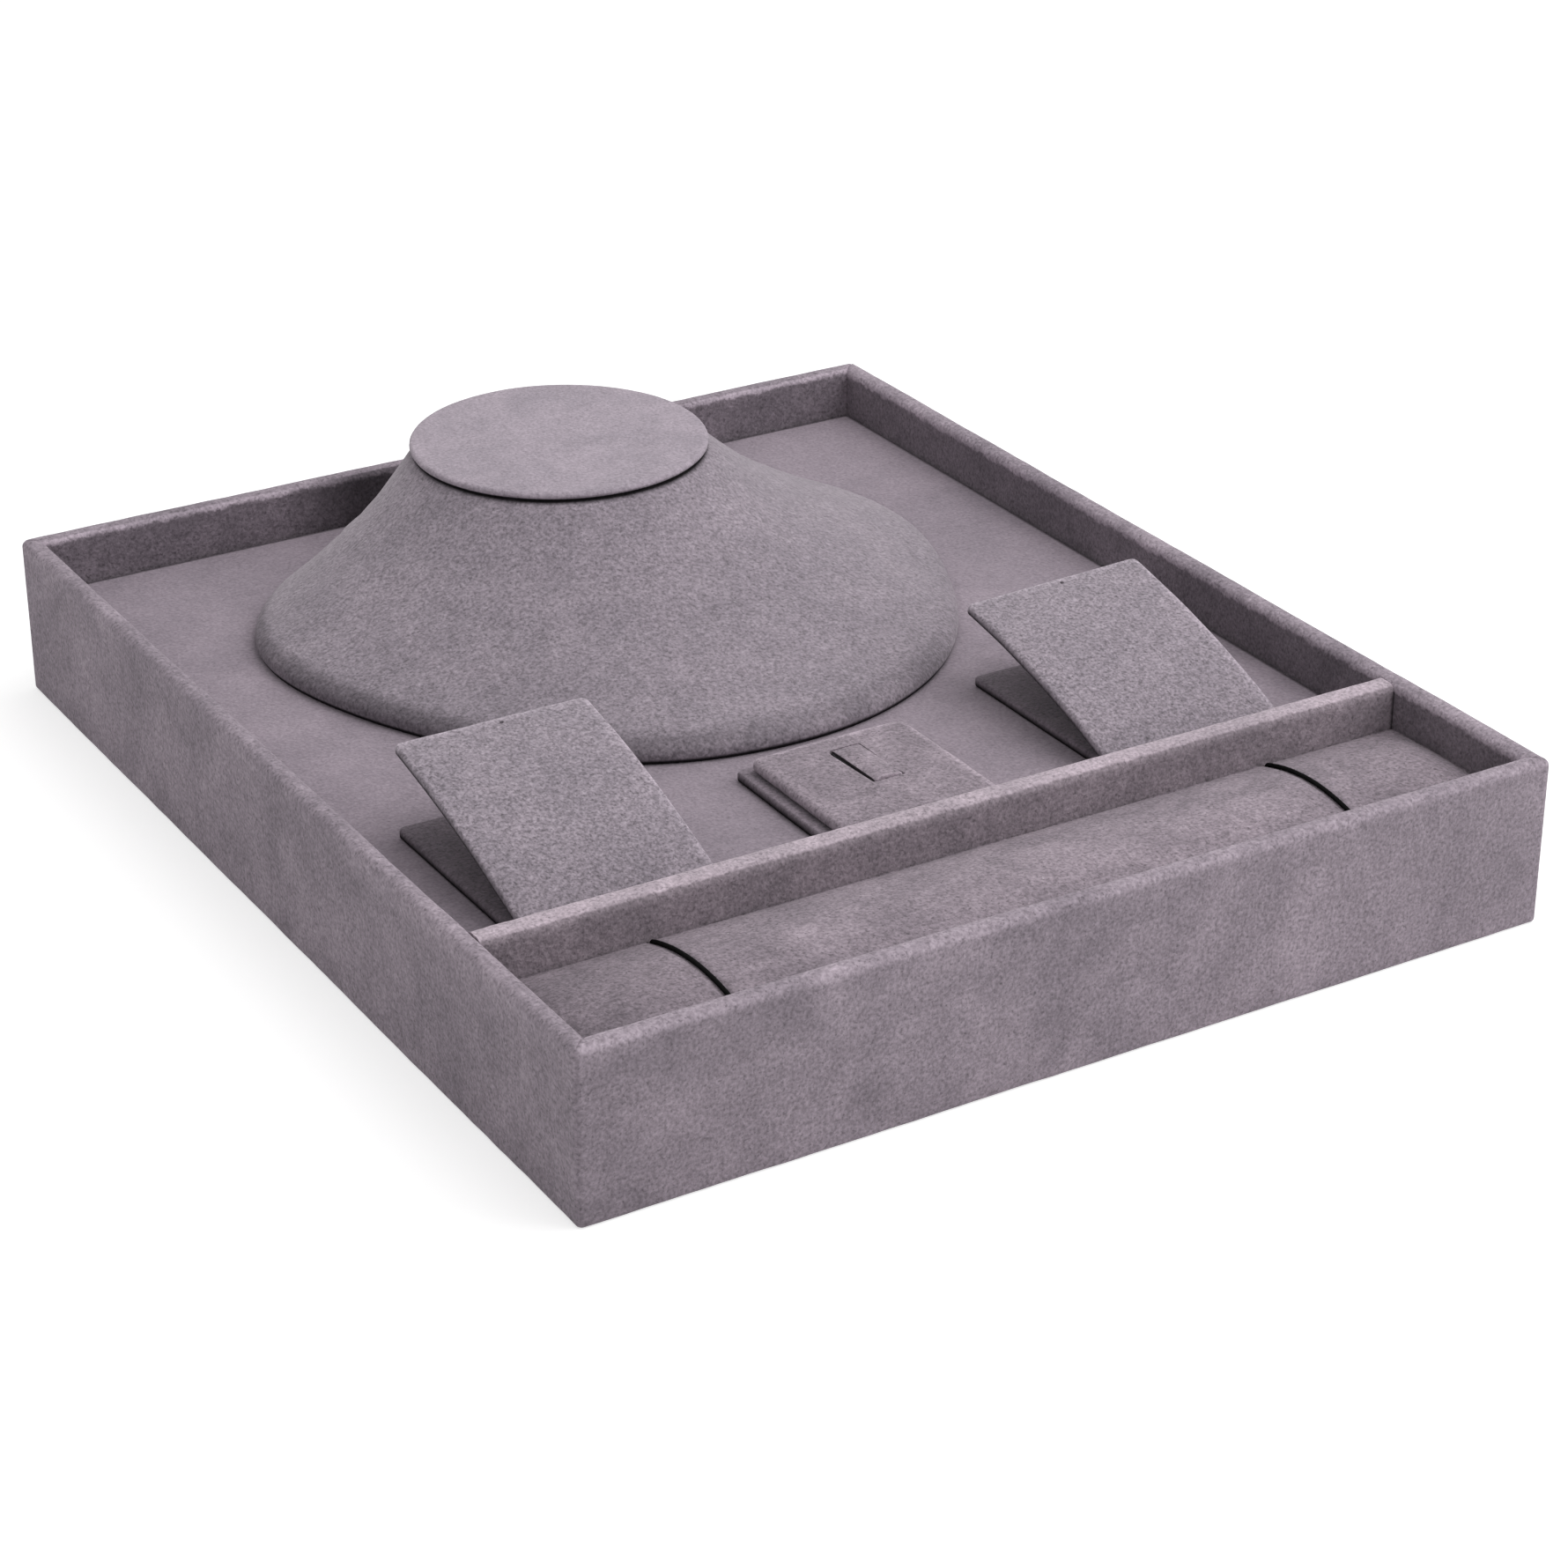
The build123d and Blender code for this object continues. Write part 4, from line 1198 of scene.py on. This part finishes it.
def cord_route(side):
    """The closed middle line of a cord round the pad: arcs at the bends, and the crown's own arc on top."""
    low, high = cord_boxes[side]
    bottom, front, back = low[2] + cord_radius, low[1] + cord_radius, high[1] - cord_radius
    crest, bend = high[2] - cord_radius + crown_rise, cord_bend
    half, middle = (back - front) / 2, (front + back) / 2
    big = (half ** 2 + cushion_crown ** 2) / (2 * cushion_crown)
    # a bend touches the straight side and the crown's arc: its middle lies one bend inside both
    bend_height = crest - big + ((big - bend) ** 2 - (half - bend) ** 2) ** 0.5
    lean = degrees(atan2(half - bend, bend_height - (crest - big)))
    line = arc((back - bend, bottom + bend), bend, 270, 360, 6)
    line += arc((back - bend, bend_height), bend, 0, 90 - lean, 6)
    line += arc((middle, crest - big), big, 90 - lean, 90 + lean, 60)[1:-1]
    line += arc((front + bend, bend_height), bend, 90 + lean, 180, 6)
    line += arc((front + bend, bottom + bend), bend, 180, 270, 6)
    return [Vector((cord_x(side, y), y, z)) for y, z in line]


def elastic_cord(side):
    route = bpy.data.curves.new("route", "CURVE")
    route.dimensions = "3D"
    spline = route.splines.new("POLY")
    points = cord_route(side)
    spline.points.add(len(points) - 1)
    for point, co in zip(spline.points, points):
        point.co = (*co, 1)
    spline.use_cyclic_u = True
    source = bpy.data.objects.new("route", route)
    scene.collection.objects.link(source)
    mesh = made_by_nodes(source, braid, braid_inputs, (cord_radius, braid_pitch, cord_material))
    finish_piece(f"elastic_cord_{side}", mesh, cord_material, "bracelet_pad",
                 [f"bracelet_cord_{side}"], sharp_angle=pi)


for side in cord_boxes:
    elastic_cord(side)

# %% [markdown]
# ## Lint, by Geometry Nodes
#
# Suede catches cotton lint: a few pale matt specks and short fibres lie on the real one. A tree scatters
# them over a copy of a skin: points on the faces that look up, one tiny bent fibre for each, turned at
# random with a fixed seed. Real lint is a few hundredths of a millimetre thick. These fibres are 0.14 mm,
# so that they show.

# %% Lint material
lint_material, tree = new_material("cotton_lint")
lint_place = add(tree, "ShaderNodeTexCoord").outputs["Object"]
lint_noise = add(tree, "ShaderNodeTexNoise", {"Vector": lint_place, "Scale": per_metre(6)})
lint_colours = {0: lint_noise, mix_first: tint("#c9c3c7"), mix_second: tint("#eeeaec")}
lint_colour = add(tree, "ShaderNodeMix", lint_colours, data_type="RGBA").outputs[mix_result]
lint_shader = add(tree, "ShaderNodeBsdfPrincipled", {"Base Color": lint_colour, "Roughness": 0.9,
                                                     "Specular IOR Level": 0.2})
add(tree, "ShaderNodeOutputMaterial", {"Surface": lint_shader})


# %% Scattered lint tree
def lint_tree():
    takes = [("Skin", "Geometry"), ("Specks per square metre", "Float"), ("Fibre length", "Float"),
             ("Seed", "Int"), ("Lint", "Material")]
    tree, given, identifiers = new_tree("scattered_lint", "Specks", takes)
    normal = add(tree, "GeometryNodeInputNormal")
    upward = add(tree, "ShaderNodeSeparateXYZ", {0: normal}).outputs[2]
    faces_up = add(tree, "ShaderNodeMath", [upward, 0.3], operation="GREATER_THAN")
    spots = add(tree, "GeometryNodeDistributePointsOnFaces",
                {"Mesh": given["Skin"], "Selection": faces_up, "Density": given["Specks per square metre"],
                 "Seed": given["Seed"]}, distribute_method="RANDOM")
    # a bent fibre from end to end, as half its length along X and a bow along Y
    half, minus_half, bow = [add(tree, "ShaderNodeMath", [given["Fibre length"], share], operation="MULTIPLY")
                             for share in (0.5, -0.5, 0.3)]
    fibre = add(tree, "GeometryNodeCurveQuadraticBezier",
                {"Resolution": 5, "Start": add(tree, "ShaderNodeCombineXYZ", {0: minus_half}),
                 "Middle": add(tree, "ShaderNodeCombineXYZ", {1: bow}),
                 "End": add(tree, "ShaderNodeCombineXYZ", {0: half})})
    round_section = add(tree, "GeometryNodeCurvePrimitiveCircle", {"Resolution": 5, "Radius": 0.07 * mm})
    hair = add(tree, "GeometryNodeCurveToMesh", {"Curve": fibre, "Profile Curve": round_section,
                                                 "Fill Caps": True})
    spin = add(tree, "FunctionNodeRandomValue",
               {"Min": (0.0, 0.0, 0.0), "Max": (0.3, 0.3, 2 * pi), "Seed": 5}, data_type="FLOAT_VECTOR")
    length = add(tree, "FunctionNodeRandomValue", {2: 0.25, 3: 1.0, "Seed": 7}, data_type="FLOAT").outputs[1]
    placed = add(tree, "GeometryNodeInstanceOnPoints", {"Points": spots, "Instance": hair, "Rotation": spin,
                                                        "Scale": length})
    finish_tree(tree, placed, given["Lint"], "Specks")
    return tree, identifiers


lint, lint_inputs = lint_tree()
print("the lint's tree has", len(lint.nodes), "nodes")

# %% Lint
fibre_length = 0.9 * mm
# which skin: its body, the specks on a square metre, and the seed
lint_spread = {
    "bust_skin": ("necklace_bust", 420, 3),
    "floor_lining_main_skin": ("root", 260, 5),
    "bracelet_cushion_skin": ("bracelet_pad", 500, 7),
    "left_stand_ramp_skin": ("left_stand", 900, 11),
    "right_stand_ramp_skin": ("right_stand", 900, 13),
    "ring_pad_skin": ("ring_holder", 900, 17),
}
for skin_name, (body, density, seed) in lint_spread.items():
    skin = bpy.data.objects.new("skin_copy", bpy.data.objects[skin_name].data.copy())
    scene.collection.objects.link(skin)
    specks = made_by_nodes(skin, lint, lint_inputs, (float(density), fibre_length, seed, lint_material))
    if len(specks.polygons):
        finish_piece(skin_name.replace("skin", "lint"), specks, lint_material, body)

# %% [markdown]
# ## Floor, backdrop and light
#
# The photograph was taken in a white tent: light from all round, a little more of it from above, from the
# right and from the front, and a white sheet below that sends light up to the outer walls. The sheet is
# seen as pure white. Camera rays therefore meet a sheet that glows a little as well, so the sheet is white
# in the picture while the object's light stays level.


# %% Stage
def seen_directly(tree):
    """Is 1 for rays that show the backdrop, to the camera or in a gloss, and 0 for rays that only light."""
    ray = add(tree, "ShaderNodeLightPath").outputs
    seen = add(tree, "ShaderNodeMath", [ray["Is Glossy Ray"], ray["Is Transmission Ray"]],
               operation="MAXIMUM")
    return add(tree, "ShaderNodeMath", [ray["Is Camera Ray"], seen], operation="MAXIMUM")


white = (1, 1, 1, 1)
sheet_mesh = bmesh.new()
bmesh.ops.create_grid(sheet_mesh, x_segments=2, y_segments=2, size=3.0)
sheet_data = bpy.data.meshes.new("white_sheet")
sheet_mesh.to_mesh(sheet_data)
sheet_mesh.free()
white_sheet = bpy.data.objects.new("white_sheet", sheet_data)
scene.collection.objects.link(white_sheet)

sheet_material, tree = new_material("white_paper_sheet")
paper = add(tree, "ShaderNodeBsdfDiffuse", {"Color": tint("#f0f0f0")})
shown = add(tree, "ShaderNodeBsdfDiffuse", {"Color": tint("#c9c9c9")})
glow = add(tree, "ShaderNodeEmission", {"Color": white, "Strength": 0.62})
glowing = add(tree, "ShaderNodeAddShader", [shown, glow])
surface = add(tree, "ShaderNodeMixShader", [seen_directly(tree), paper, glowing])
add(tree, "ShaderNodeOutputMaterial", {"Surface": surface})
sheet_data.materials.append(sheet_material)

world = bpy.data.worlds.new("white_tent")
scene.world = world
world.use_nodes = True
tree = world.node_tree
tree.nodes.clear()
tent_strength, more_on_right, more_in_front = 0.66, 0.18, -0.10
facing = add(tree, "ShaderNodeSeparateXYZ", [add(tree, "ShaderNodeTexCoord").outputs["Generated"]]).outputs
tent_level = add(tree, "ShaderNodeMath", [facing[0], more_on_right, tent_strength], operation="MULTIPLY_ADD")
tent_level = add(tree, "ShaderNodeMath", [facing[1], more_in_front, tent_level], operation="MULTIPLY_ADD")
tent = add(tree, "ShaderNodeBackground", {"Color": white, "Strength": tent_level})
backdrop = add(tree, "ShaderNodeBackground", {"Color": white, "Strength": 1.0})
both = add(tree, "ShaderNodeMixShader", [seen_directly(tree), tent, backdrop])
add(tree, "ShaderNodeOutputWorld", {"Surface": both})
print("the sheet is", round(sheet_data.vertices[-1].co.x * 2, 1), "m wide")


# %% Lamps
def soft_lamp(name, place, aim, size, watts):
    lamp_data = bpy.data.lights.new(name, "AREA")
    lamp_data.shape = "SQUARE"
    lamp_data.size = size
    lamp_data.energy = watts
    lamp = bpy.data.objects.new(name, lamp_data)
    lamp.location = place
    lamp.rotation_euler = (Vector(aim) - Vector(place)).to_track_quat("-Z", "Y").to_euler()
    scene.collection.objects.link(lamp)
    print(name, "gives", watts, "W over", size, "m")


tray_middle = (0, 0, 0.03)
soft_lamp("top_softbox", (0.5, -0.3, 1.55), tray_middle, size=1.2, watts=9)
soft_lamp("side_softbox", (0.95, -0.7, 0.8), tray_middle, size=0.9, watts=3.5)
